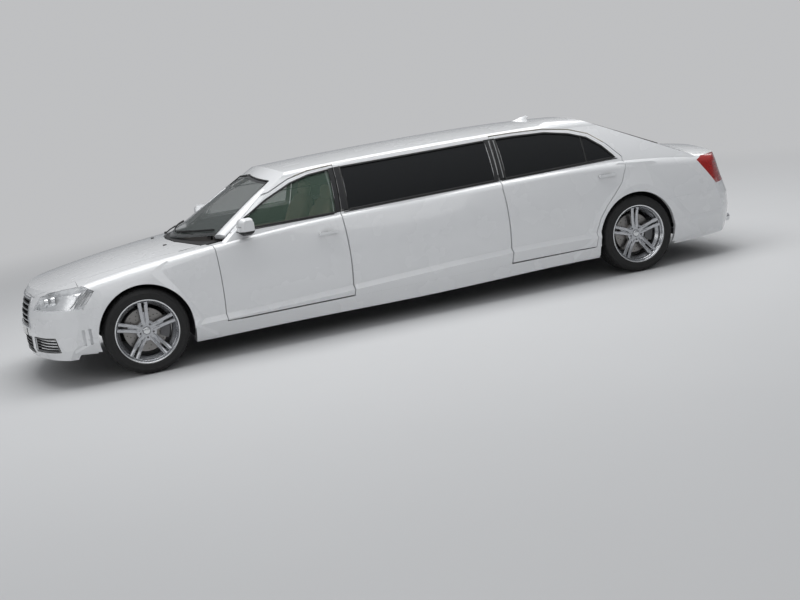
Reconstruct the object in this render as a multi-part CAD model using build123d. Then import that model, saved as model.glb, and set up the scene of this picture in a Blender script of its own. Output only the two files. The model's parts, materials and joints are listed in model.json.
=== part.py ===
"""Stretched luxury sedan: a four-door limousine with a fixed panel between its doors.

Millimetres. +X runs to the tail, +Y to the car's right-hand side and +Z up.
The origin is on the ground, under the middle of the car's length.
"""
from build123d import *
import os
from collections import namedtuple
from math import cos, radians, sin

# Overall size
WHEELBASE = 4465.0
FRONT_OVERHANG = 905.0
REAR_OVERHANG = 1175.0
X_FRONT = FRONT_OVERHANG - (FRONT_OVERHANG + WHEELBASE + REAR_OVERHANG) / 2
X_REAR = X_FRONT + WHEELBASE

# Walls and gaps
SKIN_WALL = 26.0
DOOR_WALL = 105.0
GREENHOUSE_WALL = 42.0
ROOF_WALL = 34.0
SHUT_GAP = 8.0
LID_GAP = 14.0
SEAT_GAP = 0.3
ROOF_SEAT = 0.8
GLASS_THICK = 5.0
GLASS_INSET = 5.0
GLASS_EDGE_GAP = 0.3

# Wheels and tyres
TYRE_RADIUS = 346.0
TYRE_WIDTH = 255.0
RIM_RADIUS = 259.0
RIM_WIDTH = 236.0
RIM_SEAT_RADIUS = 241.0
HALF_TRACK = 800.0
DISC_RADIUS = 178.0
DISC_THICK = 32.0
HUB_PIN_RADIUS = 34.0
BEARING_GAP = 0.05
SPOKE_PAIRS = 5
KINGPIN_Y = 712.0
KINGPIN_RADIUS = 16.0
STEER_PLAY = 1.0

# Brakes, hubs and arms. Places across a wheel are from its middle plane, inboard positive.
HUB_FACE = -40.0
DISC_MID = 10.0
BELL_RADIUS = 88.0
HUB_PIN_END = 96.0
BEARING_FACE = 34.0
BEARING_BACK = 104.0
BEARING_RADIUS = 62.0
RUNNING_GAP = 5.0
CALIPER_REACH = 204.0
CALIPER_ROOT = 118.0
CALIPER_OUT = -26.0
CALIPER_IN = 54.0
KINGPIN_DEEP = HALF_TRACK - KINGPIN_Y
ARM_LOW_Z = 214.0
ARM_HIGH_Z = 496.0
ARM_HALF_THICK = 13.0
SPOKE_ROOT_ANGLE = 17.0
SPOKE_TIP_ANGLE = 6.8
SPOKE_ROOT_HALF = 15.0
SPOKE_TIP_HALF = 15.0
BARREL_WALL = 9.0
CROSSMEMBER_HALF = 395.0
CROSSMEMBER_LOW = 176.0
CROSSMEMBER_HIGH = 262.0
PIPE_RADIUS = 29.0
SILENCER_Z = 290.0
SILENCER_Y = 560.0
TAILPIPE_END = 1130.0
MIRROR_Z = 1012.0

# Wheel arches
ARCH_RADIUS = 382.0
WHEELHOUSE_RADIUS = 414.0
WHEELHOUSE_WALL = 8.0
WHEELHOUSE_INNER_Y = {X_FRONT: 462.0, X_REAR: 560.0}
ARCH_LIP_Y = 868.0
WHEELHOUSE_END_Y = 856.0

# Floor and sills
BELOW_SILLS = 60.0
FLOOR_TOP = 250.0
FLOOR_THICK = 50.0
SILL_TOP = 296.0
FLOOR_HALF = 740.0
ARCH_EDGE = 386.0
JACK_PAD_DX = 640.0
JACK_PAD_Z = 160.0
BOOT_FLOOR_Z = 440.0
TOWER_TOP = 536.0

CABIN_HALF = 795.0
COWL_HALF = 752.0
DECK_HALF = 620.0
SCREEN_WALL = 74.0
SCREEN_SLOPE = 2.1
GRILLE_INSET = 8.0
GRILLE_DEPTH = 34.0

# Side shut lines
LEAN = 0.30
SIDE_PLANE_Y = 990.0
SIDE_DEPTH = 430.0
BELT_Z = 985.0
BELT_HALF_WIDTH = 862.0
RAIL_Z = 1380.0
RAIL_HALF_WIDTH = 650.0
LOWER_HALF_WIDTH = 932.0

# Each row is a cross-section of the lower body. dx is measured from the axle named first.
Station = namedtuple(
    "Station",
    "axle dx z_sill w_sill z_crease w_crease ledge z_waist w_waist z_shoulder w_shoulder z_deck w_deck z_mid",
)
LOWER_BODY = [Station(*row) for row in (
    ("front", -980, 205, 800, 330, 872, 3, 500, 885, 620, 860, 700, 760, 735),
    ("front", -400, 205, 840, 330, 908, 6, 560, 918, 720, 890, 800, 790, 855),
    ("front", 0, 180, 850, 318, 918, 9, 600, 925, 775, 900, 862, 790, 918),
    ("front", 500, 172, 855, 318, 928, 16, 620, 930, 855, 908, 915, 835, 955),
    ("front", 1500, 176, 860, 344, 932, 20, 650, 933, 940, 900, 985, 855, 1000),
    ("rear", -1165, 187, 862, 398, 932, 20, 670, 933, 975, 900, 1025, 836, 1040),
    ("rear", 0, 185, 860, 372, 920, 12, 660, 927, 945, 898, 1015, 820, 1060),
    ("rear", 635, 190, 855, 372, 908, 9, 640, 915, 880, 880, 965, 780, 1045),
    ("rear", 1255, 240, 800, 372, 842, 3, 600, 850, 800, 820, 895, 720, 950),
)]
LEDGE_RISE = 44.0

# Each row is a plan outline at one level: how far nose and tail reach from their axles.
Level = namedtuple("Level", "z nose tail nose_sweep tail_sweep")
PLAN_LEVELS = [Level(*row) for row in (
    (150, 850, 1070, 120, 70),
    (215, 878, 1110, 112, 66),
    (300, 905, 1150, 105, 62),
    (430, 905, 1175, 100, 60),
    (560, 898, 1175, 100, 60),
    (640, 876, 1150, 105, 62),
    (730, 828, 1125, 115, 64),
    (860, 730, 1095, 130, 68),
    (1150, 480, 1010, 150, 80),
)]
NOSE_HALF = 600.0
TAIL_HALF = 640.0
SIDE_HALF = 950.0
NOSE_CORNER = (150.0, 835.0)
NOSE_SIDE_DX = 470.0
TAIL_CORNER = (150.0, 850.0)
TAIL_SIDE_DX = 420.0

# Each row is a cross-section of the greenhouse.
Hoop = namedtuple("Hoop", "axle dx z_belt w_belt z_glass w_glass z_rail w_rail z_top w_top z_mid")
GREENHOUSE = [Hoop(*row) for row in (
    ("front", 150, 860, 905, 1100, 795, 1285, 675, 1325, 610, 1350),
    ("front", 1100, 860, 905, 1130, 797, 1342, 668, 1385, 600, 1420),
    ("front", 1700, 860, 905, 1145, 797, 1366, 664, 1412, 594, 1450),
    ("rear", -1865, 860, 905, 1155, 797, 1384, 662, 1432, 590, 1474),
    ("rear", -800, 860, 905, 1150, 795, 1382, 660, 1430, 588, 1472),
    ("rear", -150, 860, 900, 1135, 785, 1350, 650, 1397, 578, 1436),
    ("rear", 700, 860, 880, 1080, 755, 1235, 640, 1275, 565, 1310),
)]
SHOULDER_BULGE = 0.17
BELT_SKIRT = 60.0

# Raised bands round the wheel openings: flat out to one radius, then down to the skin at another
Flare = namedtuple("Flare", "x skin_y band foot")
FLARES = (Flare(X_FRONT, 915.0, 418.0, 462.0), Flare(X_REAR, 920.0, 446.0, 500.0))
FLARE_OUT = 13.0
FLARE_DEEP_Y, FLARE_HIGH_Y = 880.0, 970.0

# Windscreen and rear window: levels, centre reach from the axle and sweep at the screen's half width
SCREEN_HALF = 950.0
SCREEN_REACH = 6500.0
SCREEN_LOW_Z, SCREEN_HIGH_Z = 800.0, 1560.0
WINDSCREEN_LOW = (126.0, 500.0)
WINDSCREEN_HIGH = (1562.0, 245.0)
REAR_WINDOW_LOW = (1250.0, 300.0)
REAR_WINDOW_HIGH = (-545.0, 200.0)

# Underside: silencers, tailpipes, engine block and the mirrors' sections
SILENCER_START, SILENCER_LENGTH = 60.0, 330.0
SILENCER_HALF_WIDTH, SILENCER_HALF_HEIGHT = 105.0, 75.0
TAILPIPE_RADIUS, TAILPIPE_LENGTH = 34.0, 200.0
TAILPIPE_SPACING = 45.0
ENGINE_HALF_WIDTH, ENGINE_TOP = 250.0, 790.0
ENGINE_FRONT_DX, ENGINE_BACK_DX = -180.0, 372.0
MIRROR_FOOT_Y, MIRROR_RISE = -900.0, 30.0
MirrorSection = namedtuple("MirrorSection", "y width height shift")
MIRROR_SECTIONS = [MirrorSection(*row) for row in (
    (-838, 74, 44, 0),
    (-892, 90, 60, 0),
    (-925, 140, 128, 8),
    (-1000, 130, 140, 6),
    (-1052, 84, 104, 16),
)]


def axle_x(axle, dx):
    """X of a place that is dx behind one of the axles."""
    return dx + (X_FRONT if axle == "front" else X_REAR)


def block(x0, x1, y0, y1, z0, z1):
    """Box between two corners."""
    return Pos((x0 + x1) / 2, (y0 + y1) / 2, (z0 + z1) / 2) * Box(x1 - x0, y1 - y0, z1 - z0)


def side_block(side, x0, x1, y0, y1, z0, z1):
    """Box on one side of the car, between two distances from its middle."""
    return block(x0, x1, min(side * y0, side * y1), max(side * y0, side * y1), z0, z1)


def cross_cylinder(x, z, radius, y0, y1):
    """Cylinder along Y between two sides."""
    return Pos(x, (y0 + y1) / 2, z) * Rot(90, 0, 0) * Cylinder(radius, abs(y1 - y0))


def closed_section(x, straight, waist, high, deck, crown_z):
    """Wire across the car: a flat bottom, straight runs up each side, then waist, shoulder and crown arcs."""
    bulge_y = SHOULDER_BULGE * (deck[1] - high[1])
    bulge_z = SHOULDER_BULGE * (high[0] - deck[0])
    corner = ((high[0] + deck[0]) / 2 + bulge_y, (high[1] + deck[1]) / 2 + bulge_z)

    def at(point, side):
        return Vector(x, side * point[0], point[1])

    def half(side):
        runs = [Edge.make_line(at(a, side), at(b, side)) for a, b in zip(straight, straight[1:])]
        return runs + [
            Edge.make_three_point_arc(at(straight[-1], side), at(waist, side), at(high, side)),
            Edge.make_three_point_arc(at(high, side), at(corner, side), at(deck, side)),
        ]

    bottom = Edge.make_line(at(straight[0], -1), at(straight[0], 1))
    crown = Edge.make_three_point_arc(at(deck, 1), Vector(x, 0, crown_z), at(deck, -1))
    return Wire([bottom, *half(1), crown, *reversed(half(-1))])


def lower_loft(wall=0.0, top_wall=0.0, floor=None):
    """Lower body through its stations, drawn in by a wall."""
    wires = []
    for row in LOWER_BODY:
        crease = (row.w_crease - wall, row.z_crease)
        straight = [
            (row.w_sill - wall, row.z_sill if floor is None else floor),
            crease,
            (crease[0] - row.ledge, crease[1] + LEDGE_RISE),
        ]
        wires.append(closed_section(
            axle_x(row.axle, row.dx), straight, (row.w_waist - wall, row.z_waist),
            (row.w_shoulder - wall, row.z_shoulder - top_wall), (row.w_deck - wall, row.z_deck - top_wall),
            row.z_mid - top_wall))
    return Solid.make_loft(wires, False)


def plan_wire(level, wall):
    """Plan outline at one level: round nose and tail, and straight sides."""
    nose = X_FRONT - level.nose + wall
    tail = X_REAR + level.tail - wall
    side = SIDE_HALF - wall
    nose_end = nose + level.nose_sweep
    tail_end = tail - level.tail_sweep
    nose_corner = (nose_end + NOSE_CORNER[0], NOSE_CORNER[1] - wall)
    tail_corner = (tail_end - TAIL_CORNER[0], TAIL_CORNER[1] - wall)
    nose_side = nose_end + NOSE_SIDE_DX
    tail_side = tail_end - TAIL_SIDE_DX
    z = level.z
    right = [
        Edge.make_three_point_arc((nose_end, -NOSE_HALF, z), (nose, 0, z), (nose_end, NOSE_HALF, z)),
        Edge.make_three_point_arc((nose_end, NOSE_HALF, z), (*nose_corner, z), (nose_side, side, z)),
        Edge.make_line((nose_side, side, z), (tail_side, side, z)),
        Edge.make_three_point_arc((tail_side, side, z), (*tail_corner, z), (tail_end, TAIL_HALF, z)),
        Edge.make_three_point_arc((tail_end, TAIL_HALF, z), (tail, 0, z), (tail_end, -TAIL_HALF, z)),
    ]
    left = [
        Edge.make_three_point_arc(
            (tail_end, -TAIL_HALF, z), (tail_corner[0], -tail_corner[1], z), (tail_side, -side, z)),
        Edge.make_line((tail_side, -side, z), (nose_side, -side, z)),
        Edge.make_three_point_arc(
            (nose_side, -side, z), (nose_corner[0], -nose_corner[1], z), (nose_end, -NOSE_HALF, z)),
    ]
    return Wire(right + left)


def plan_loft(wall=0.0):
    """Everything inside the plan outlines."""
    return Solid.make_loft([plan_wire(level, wall) for level in PLAN_LEVELS], True)


def greenhouse_loft(wall=0.0, roof_wall=0.0):
    """Glass house and roof through their hoops."""
    wires = []
    for row in GREENHOUSE:
        belt = row.w_belt - wall
        wires.append(closed_section(
            axle_x(row.axle, row.dx), [(belt, row.z_belt - BELT_SKIRT), (belt, row.z_belt)],
            (row.w_glass - wall, row.z_glass), (row.w_rail - wall, row.z_rail - roof_wall),
            (row.w_top - wall, row.z_top - roof_wall), row.z_mid - roof_wall))
    return Solid.make_loft(wires, False)


def screen_solid(low, high, axle, direction, wall=0.0):
    """Space behind a windscreen, or in front of a rear window, as a ruled loft of two plan arcs."""
    far = direction * SCREEN_REACH
    wires = []
    for z, (reach, sweep) in ((SCREEN_LOW_Z, low), (SCREEN_HIGH_Z, high)):
        middle = axle_x(axle, reach) + direction * wall
        end = middle + direction * sweep
        back = axle_x(axle, 0) + far
        wires.append(Wire([
            Edge.make_three_point_arc((end, -SCREEN_HALF, z), (middle, 0, z), (end, SCREEN_HALF, z)),
            Edge.make_line((end, SCREEN_HALF, z), (back, SCREEN_HALF, z)),
            Edge.make_line((back, SCREEN_HALF, z), (back, -SCREEN_HALF, z)),
            Edge.make_line((back, -SCREEN_HALF, z), (end, -SCREEN_HALF, z)),
        ]))
    return Solid.make_loft(wires, True)


def greenhouse_solid(wall=0.0, roof_wall=0.0, screen_wall=0.0):
    """Glass house between its two screens."""
    house = greenhouse_loft(wall, roof_wall)
    house = house & screen_solid(WINDSCREEN_LOW, WINDSCREEN_HIGH, "front", 1, screen_wall)
    return house & screen_solid(REAR_WINDOW_LOW, REAR_WINDOW_HIGH, "rear", -1, screen_wall)


def skin_half_width(z):
    """Rough half width of the body side at a height, used to lay side outlines."""
    if z <= BELT_Z:
        return LOWER_HALF_WIDTH
    share = (z - BELT_Z) / (RAIL_Z - BELT_Z)
    return BELT_HALF_WIDTH + share * (RAIL_HALF_WIDTH - BELT_HALF_WIDTH)


def side_prism(points, side, grow=0.0, depth=SIDE_DEPTH):
    """Oblique prism through the body side, whose outline is given where it meets the skin.

    Each point is (x, z). The prism narrows towards the front as it goes in, so a door
    that swings on its front edge leaves its opening freely.
    """
    laid = [(x + LEAN * (SIDE_PLANE_Y - skin_half_width(z)), z) for x, z in points]
    outline = make_face(Polyline(*laid, close=True))
    if grow:
        outline = offset(outline, amount=grow, kind=Kind.INTERSECTION)
    plane = Plane(origin=(0, side * SIDE_PLANE_Y, 0), x_dir=(1, 0, 0), z_dir=(0, -1, 0))
    face = (plane * outline).faces()[0]
    return Solid.extrude(face, Vector(-LEAN * depth, -side * depth, 0))


def plan_prism(points, z0, z1, grow=0.0):
    """Vertical prism over a plan outline."""
    outline = make_face(Polyline(*points, close=True))
    if grow:
        outline = offset(outline, amount=grow, kind=Kind.INTERSECTION)
    return Solid.extrude((Pos(0, 0, z0) * outline).faces()[0], Vector(0, 0, z1 - z0))


def largest(shape):
    """Biggest solid of a shape."""
    return max(shape.solids(), key=lambda solid: solid.volume)


def mirror_y(shape):
    """The same piece on the car's other side."""
    return mirror(shape, about=Plane.XZ)


def along(axle, *points):
    """Side or plan points, with their first number measured from an axle."""
    return [(axle_x(axle, dx), other) for dx, other in points]


# Shut lines of the side, each point being behind the axle and above the ground
FRONT_DOOR = along(
    "front", (655, 304), (1752, 304), (1756, 960), (1786, 1392), (1560, 1378),
    (1380, 1338), (1120, 1232), (840, 1082), (655, 968))
REAR_DOOR_ARCH = [
    (X_REAR - 424 * cos(radians(a)), 345 + 424 * sin(radians(a))) for a in (-6, 12, 30, 46)]
REAR_DOOR = (
    along("rear", (-1240, 304)) + REAR_DOOR_ARCH
    + along("rear", (-110, 830), (-38, 960), (-34, 1050), (-150, 1185), (-290, 1296), (-460, 1356),
            (-700, 1396), (-1000, 1408), (-1228, 1410), (-1246, 960)))
CENTRE_PANEL = (
    along("front", (1752 + SHUT_GAP, 170)) + along("rear", (-1240 - SHUT_GAP, 170), (-1246 - SHUT_GAP, 960),
                                                   (-1228 - SHUT_GAP, 1410))
    + along("front", (1786 + SHUT_GAP, 1398), (1756 + SHUT_GAP, 960)))

# Window openings of the side
FRONT_WINDOW = along(
    "front", (905, 1012), (1704, 1016), (1742, 1356), (1560, 1340), (1390, 1300), (1150, 1202), (930, 1084))
REAR_WINDOW = along(
    "rear", (-1192, 1044), (-110, 1058), (-205, 1170), (-320, 1262), (-480, 1318), (-700, 1360),
    (-1000, 1374), (-1180, 1376))
CENTRE_WINDOW = along("front", (1815, 1020)) + along("rear", (-1302, 1042), (-1286, 1376)) + along(
    "front", (1846, 1362))

# Handles: middle X, middle Z and the skin's half width there
HANDLE_HALF = 84.0
HANDLE_TALL = 24.0
HANDLE_THICK = 13.0
HANDLE_OUT = 34.0
FRONT_HANDLE = (X_FRONT + 1596, 866.0, 916.0)
REAR_HANDLE = (X_REAR - 254, 918.0, 906.0)

# Lids, in plan
BONNET = along(
    "front", (-700, -560), (-795, -380), (-838, 0), (-795, 380), (-700, 560), (-330, 655), (560, 745),
    (500, 560), (420, 300), (392, 0), (420, -300), (500, -560), (560, -745), (-330, -655))
BOOT_LID = along(
    "rear", (712, -610), (740, 0), (712, 610), (930, 640), (1400, 620), (1400, -620), (930, -640))
BOOT_LIP_Z = 668.0


# Lamps, grille and bumper openings seen from the front, as (y, z)
GRILLE_OPENING = ((-372, 478), (372, 478), (340, 690), (-340, 690))
LOWER_OPENING = ((-350, 262), (350, 262), (368, 388), (-368, 388))
SIDE_OPENING = ((455, 290), (800, 300), (780, 402), (470, 398))
HEADLAMP_FRONT = ((470, 622), (990, 622), (990, 800), (800, 785), (640, 757), (520, 722))
HEADLAMP_SIDE = ((-1000, 622), (-455, 622), (-352, 742), (-440, 800), (-1000, 800))
TAIL_LAMP_BACK = ((640, 672), (960, 672), (960, 935), (700, 935), (655, 905))
TAIL_LAMP_SIDE = ((700, 905), (770, 935), (1300, 935), (1300, 672), (860, 672))
WINDSCREEN_OPENING = ((-715, 985), (0, 958), (715, 985), (560, 1338), (0, 1376), (-560, 1338))
BACKLIGHT_OPENING = ((-610, 1092), (0, 1072), (610, 1092), (500, 1352), (0, 1382), (-500, 1352))
LAMP_WALL = 70.0
BUMPER_TOP = 612.0
SEAM = 4.0
BONNET_LOW_Z = 714.0
BUMPER_SLOTS = (-492.0, -440.0)
Louvres = namedtuple("Louvres", "openings rim louvres pitch half upright")
GRILLES = (
    Louvres((GRILLE_OPENING,), 15.0, 4, 42.0, 8.0, 10.0),
    Louvres((LOWER_OPENING,), 10.0, 3, 30.0, 4.0, 6.0),
    Louvres((SIDE_OPENING, tuple((-y, z) for y, z in SIDE_OPENING)), 10.0, 3, 24.0, 4.0, 0.0),
)


def front_prism(points, x0, x1, grow=0.0):
    """Prism along X whose outline is given as (y, z)."""
    outline = make_face(Polyline(*points, close=True))
    if grow:
        outline = offset(outline, amount=grow, kind=Kind.INTERSECTION)
    plane = Plane(origin=(x0, 0, 0), x_dir=(0, 1, 0), z_dir=(1, 0, 0))
    return Solid.extrude((plane * outline).faces()[0], Vector(x1 - x0, 0, 0))


def flat_side_prism(points, axle, grow=0.0):
    """Prism straight across the car whose outline is given as (dx, z) from an axle."""
    outline = make_face(Polyline(*along(axle, *points), close=True))
    if grow:
        outline = offset(outline, amount=grow, kind=Kind.INTERSECTION)
    plane = Plane(origin=(0, SIDE_PLANE_Y, 0), x_dir=(1, 0, 0), z_dir=(0, -1, 0))
    return Solid.extrude((plane * outline).faces()[0], Vector(0, -2 * SIDE_PLANE_Y, 0))


def mirrored(points):
    """Front outline on the car's other side."""
    return tuple((-y, z) for y, z in points)


class Forms:
    """Solids that the panels are cut from."""

    def __init__(self):
        flares = self.flares()
        self.lower = (lower_loft() & plan_loft()) + (flares + [mirror_y(flare) for flare in flares])
        self.house = greenhouse_solid()
        self.inside = lower_loft(SKIN_WALL, SKIN_WALL, BELOW_SILLS) & plan_loft(SKIN_WALL)
        front = block(X_FRONT - 1000, X_FRONT + 800, -1000, 1000, 0, 1200)
        rear = block(X_REAR - 480, X_REAR + 1300, -1000, 1000, 0, 1200)
        self.front_skin = (self.lower & front) - self.inside
        self.rear_skin = (self.lower & rear) - self.inside
        deep = lower_loft(LAMP_WALL, SKIN_WALL, BELOW_SILLS) & plan_loft(LAMP_WALL)
        ends = [block(X_FRONT - 1000, X_FRONT - 300, -1000, 0, 600, 850),
                block(X_REAR + 600, X_REAR + 1300, -1000, 0, 600, 1000)]
        self.lamp_walls = [(self.lower & end) - deep for end in ends]
        cabin = block(X_FRONT + 470, X_REAR + 560, -CABIN_HALF, CABIN_HALF, FLOOR_TOP, 1300)
        left = block(X_FRONT + 400, X_REAR + 200, -1000, -600, 0, 1500)
        wall = (self.lower & left) - [lower_loft(DOOR_WALL, SKIN_WALL, FLOOR_TOP), cabin]
        self.side = wall + ((self.house & left) - greenhouse_loft(GREENHOUSE_WALL, ROOF_WALL))
        self.hood = self.house - greenhouse_solid(GREENHOUSE_WALL, ROOF_WALL, SCREEN_WALL)
        self.pane = self.offset_house(GLASS_INSET) - self.offset_house(GLASS_INSET + GLASS_THICK)

    def flares(self):
        """Raised bands round the left-hand wheel openings."""
        grown = lower_loft(-FLARE_OUT) & plan_loft(-FLARE_OUT)
        bands = []
        for row in FLARES:
            slope = (row.foot - row.band) / FLARE_OUT
            deep_radius = row.foot + slope * (row.skin_y - FLARE_DEEP_Y)
            high_radius = row.foot - slope * (FLARE_HIGH_Y - row.skin_y)
            cone = Cone(deep_radius, high_radius, FLARE_HIGH_Y - FLARE_DEEP_Y)
            place = Pos(row.x, -(FLARE_DEEP_Y + FLARE_HIGH_Y) / 2, TYRE_RADIUS) * Rot(90, 0, 0)
            bands.append(largest(grown & (place * cone)))
        return bands

    def offset_house(self, depth):
        """Greenhouse drawn in square to its surface."""
        return greenhouse_solid(depth, depth, depth * SCREEN_SLOPE)


def arches(x, sides=(-1,)):
    """Wheel openings at one axle: a lip through the skin and a wider wheelhouse inside it."""
    cutters = []
    for side in sides:
        inner = side * WHEELHOUSE_INNER_Y[x]
        cutters.append(cross_cylinder(x, TYRE_RADIUS, ARCH_RADIUS, inner, side * 1000))
        cutters.append(cross_cylinder(x, TYRE_RADIUS, WHEELHOUSE_RADIUS, inner, side * ARCH_LIP_Y))
    return cutters


def both_sides(nodes, name, shape):
    """Left piece, and its mirror image on the right."""
    nodes[f"{name}_left"] = shape
    nodes[f"{name}_right"] = mirror_y(shape)


def door_handle(middle_x, middle_z, skin_y):
    """Left-hand strap handle on its two feet."""
    out = skin_y + HANDLE_OUT
    strap = block(middle_x - HANDLE_HALF, middle_x + HANDLE_HALF, -out, HANDLE_THICK - out,
                  middle_z - HANDLE_TALL / 2, middle_z + HANDLE_TALL / 2)
    strap = fillet(strap.edges().filter_by(Axis.Y), HANDLE_TALL * 0.42)
    for way in (-1, 1):
        foot_x = middle_x + way * (HANDLE_HALF - 18)
        strap = strap + block(foot_x - 12, foot_x + 12, HANDLE_THICK - out - 1, 12 - skin_y,
                              middle_z - HANDLE_TALL * 0.4, middle_z + HANDLE_TALL * 0.4)
    return strap


def add_sides(nodes, forms):
    """Doors, fixed centre panels and side glass."""
    for label, outline, window, handle in (
            ("front", FRONT_DOOR, FRONT_WINDOW, FRONT_HANDLE), ("rear", REAR_DOOR, REAR_WINDOW, REAR_HANDLE)):
        door = (forms.side & side_prism(outline, -1, -SHUT_GAP / 2)) - side_prism(window, -1)
        both_sides(nodes, f"door_{label}", largest(largest(door) + door_handle(*handle)))
        pane = forms.pane & side_prism(window, -1, -GLASS_EDGE_GAP)
        both_sides(nodes, f"window_{label}", largest(pane))
    sill_room = block(X_FRONT, X_REAR, -1000, 1000, 0, SILL_TOP + SEAT_GAP)
    panel = (forms.side & side_prism(CENTRE_PANEL, -1)) - [side_prism(CENTRE_WINDOW, -1), sill_room]
    panel = largest(panel)
    nodes["centre_panels"] = Compound([panel, mirror_y(panel)])
    pane = largest(forms.pane & side_prism(CENTRE_WINDOW, -1, -GLASS_EDGE_GAP))
    nodes["centre_windows"] = Compound([pane, mirror_y(pane)])
    sill = forms.lower & block(
        X_FRONT + ARCH_EDGE, X_REAR - ARCH_EDGE, -1000, -FLOOR_HALF - SEAT_GAP, 0, SILL_TOP)
    both_sides(nodes, "sill", largest(sill - arches(X_FRONT) - arches(X_REAR)))


def add_roof(nodes, forms):
    """Roof with its pillars, windscreen and rear window."""
    cutters = [lower_loft(-ROOF_SEAT, -ROOF_SEAT)]
    for outline, grow in ((FRONT_DOOR, SHUT_GAP / 2), (REAR_DOOR, SHUT_GAP / 2), (CENTRE_PANEL, SEAT_GAP)):
        cutter = side_prism(outline, -1, grow)
        cutters += [cutter, mirror_y(cutter)]
    screen = (X_FRONT, X_FRONT + 1700)
    backlight = (X_REAR - 400, X_REAR + 1000)
    cutters += [front_prism(WINDSCREEN_OPENING, *screen), front_prism(BACKLIGHT_OPENING, *backlight)]
    nodes["roof"] = largest(forms.hood - cutters)
    nodes["windscreen"] = largest(forms.pane & front_prism(WINDSCREEN_OPENING, *screen, -GLASS_EDGE_GAP))
    nodes["rear_window"] = largest(forms.pane & front_prism(BACKLIGHT_OPENING, *backlight, -GLASS_EDGE_GAP))


def lamp_and_hole(wall, front_outline, side_outline, axle, x0, x1):
    """Left-hand lamp cut from a thick wall, and the hole that it leaves in the panels."""
    shape = front_prism(mirrored(front_outline), x0, x1) & flat_side_prism(side_outline, axle)
    hole = front_prism(mirrored(front_outline), x0, x1, SEAT_GAP)
    hole = hole & flat_side_prism(side_outline, axle, SEAT_GAP)
    return largest(wall & shape), hole


def add_front(nodes, forms):
    """Bonnet, wings, bumper, grille, lamps and cowl."""
    nose_x = X_FRONT - 950
    hole = plan_prism(BONNET, BONNET_LOW_Z - SEAM, 1200, SEAM)
    nodes["bonnet"] = largest(forms.front_skin & plan_prism(BONNET, BONNET_LOW_Z, 1200))
    lamp, lamp_hole = lamp_and_hole(
        forms.lamp_walls[0], HEADLAMP_FRONT, HEADLAMP_SIDE, "front", nose_x, X_FRONT)
    lamp = largest(lamp - hole)
    nodes["headlamps"] = Compound([lamp, mirror_y(lamp)])

    wing = forms.front_skin & block(X_FRONT - 460, X_FRONT + 760, -1000, -500, 0, 1100)
    wing = wing - [
        *arches(X_FRONT), hole, lamp_hole, side_prism(FRONT_DOOR, -1, SHUT_GAP / 2),
        block(X_FRONT - 1000, X_FRONT - 200, -1000, 0, 0, BUMPER_TOP + SEAT_GAP),
        block(X_FRONT + 300, X_FRONT + 800, -1000, 0, 0, SILL_TOP + SEAT_GAP),
        block(X_FRONT + 380, X_FRONT + 800, -COWL_HALF - SEAT_GAP, 0, 0, 1200)]
    both_sides(nodes, "wing", largest(wing))

    low = block(nose_x, X_FRONT - 200, -1000, 1000, 0, BUMPER_TOP)
    nose = block(nose_x, X_FRONT - 460 - SEAM, -1000, 1000, BUMPER_TOP - 1, 900)
    cutters = [hole, lamp_hole, mirror_y(lamp_hole), *arches(X_FRONT, (-1, 1))]
    for points in (GRILLE_OPENING, LOWER_OPENING, SIDE_OPENING, mirrored(SIDE_OPENING)):
        cutters.append(front_prism(points, nose_x, X_FRONT - 420))
    for side in (-1, 1):
        for dx in BUMPER_SLOTS:
            cutters.append(side_block(side, X_FRONT + dx - 11, X_FRONT + dx + 11, 890, 1000, 330, 456))
    nodes["front_bumper"] = largest((forms.front_skin & (low + nose)) - cutters)
    nodes["grille"] = build_grille(nose_x)

    cowl = forms.front_skin & block(X_FRONT + 380, X_FRONT + 900, -COWL_HALF, COWL_HALF, 800, 1100)
    nodes["cowl"] = largest(cowl - [
        plan_prism(BONNET, BONNET_LOW_Z, 1200, LID_GAP),
        screen_solid(WINDSCREEN_LOW, WINDSCREEN_HIGH, "front", 1, SCREEN_WALL)])


def build_grille(nose_x):
    """Radiator grille and lower inserts: in each a rim, louvres and uprights in one piece."""
    back_x = X_FRONT - 420
    front = block(nose_x, back_x, -850, 850, 240, 700)
    slab = (plan_loft(GRILLE_INSET) & front) - plan_loft(GRILLE_DEPTH)
    pieces = []
    for row in GRILLES:
        for points in row.openings:
            middle = sum(z for _, z in points) / len(points)
            bars = []
            for index in range(row.louvres):
                z = middle + (index - (row.louvres - 1) / 2) * row.pitch
                bars.append(block(nose_x, back_x, -900, 900, z - row.half, z + row.half))
            if row.upright:
                bars.append(block(nose_x, back_x, -row.upright, row.upright, 0, 900))
            gaps = front_prism(points, nose_x, back_x, -row.rim) - bars
            pieces.append(largest(slab & (front_prism(points, nose_x, back_x, -SEAT_GAP) - gaps)))
    return Compound(pieces)


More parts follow.
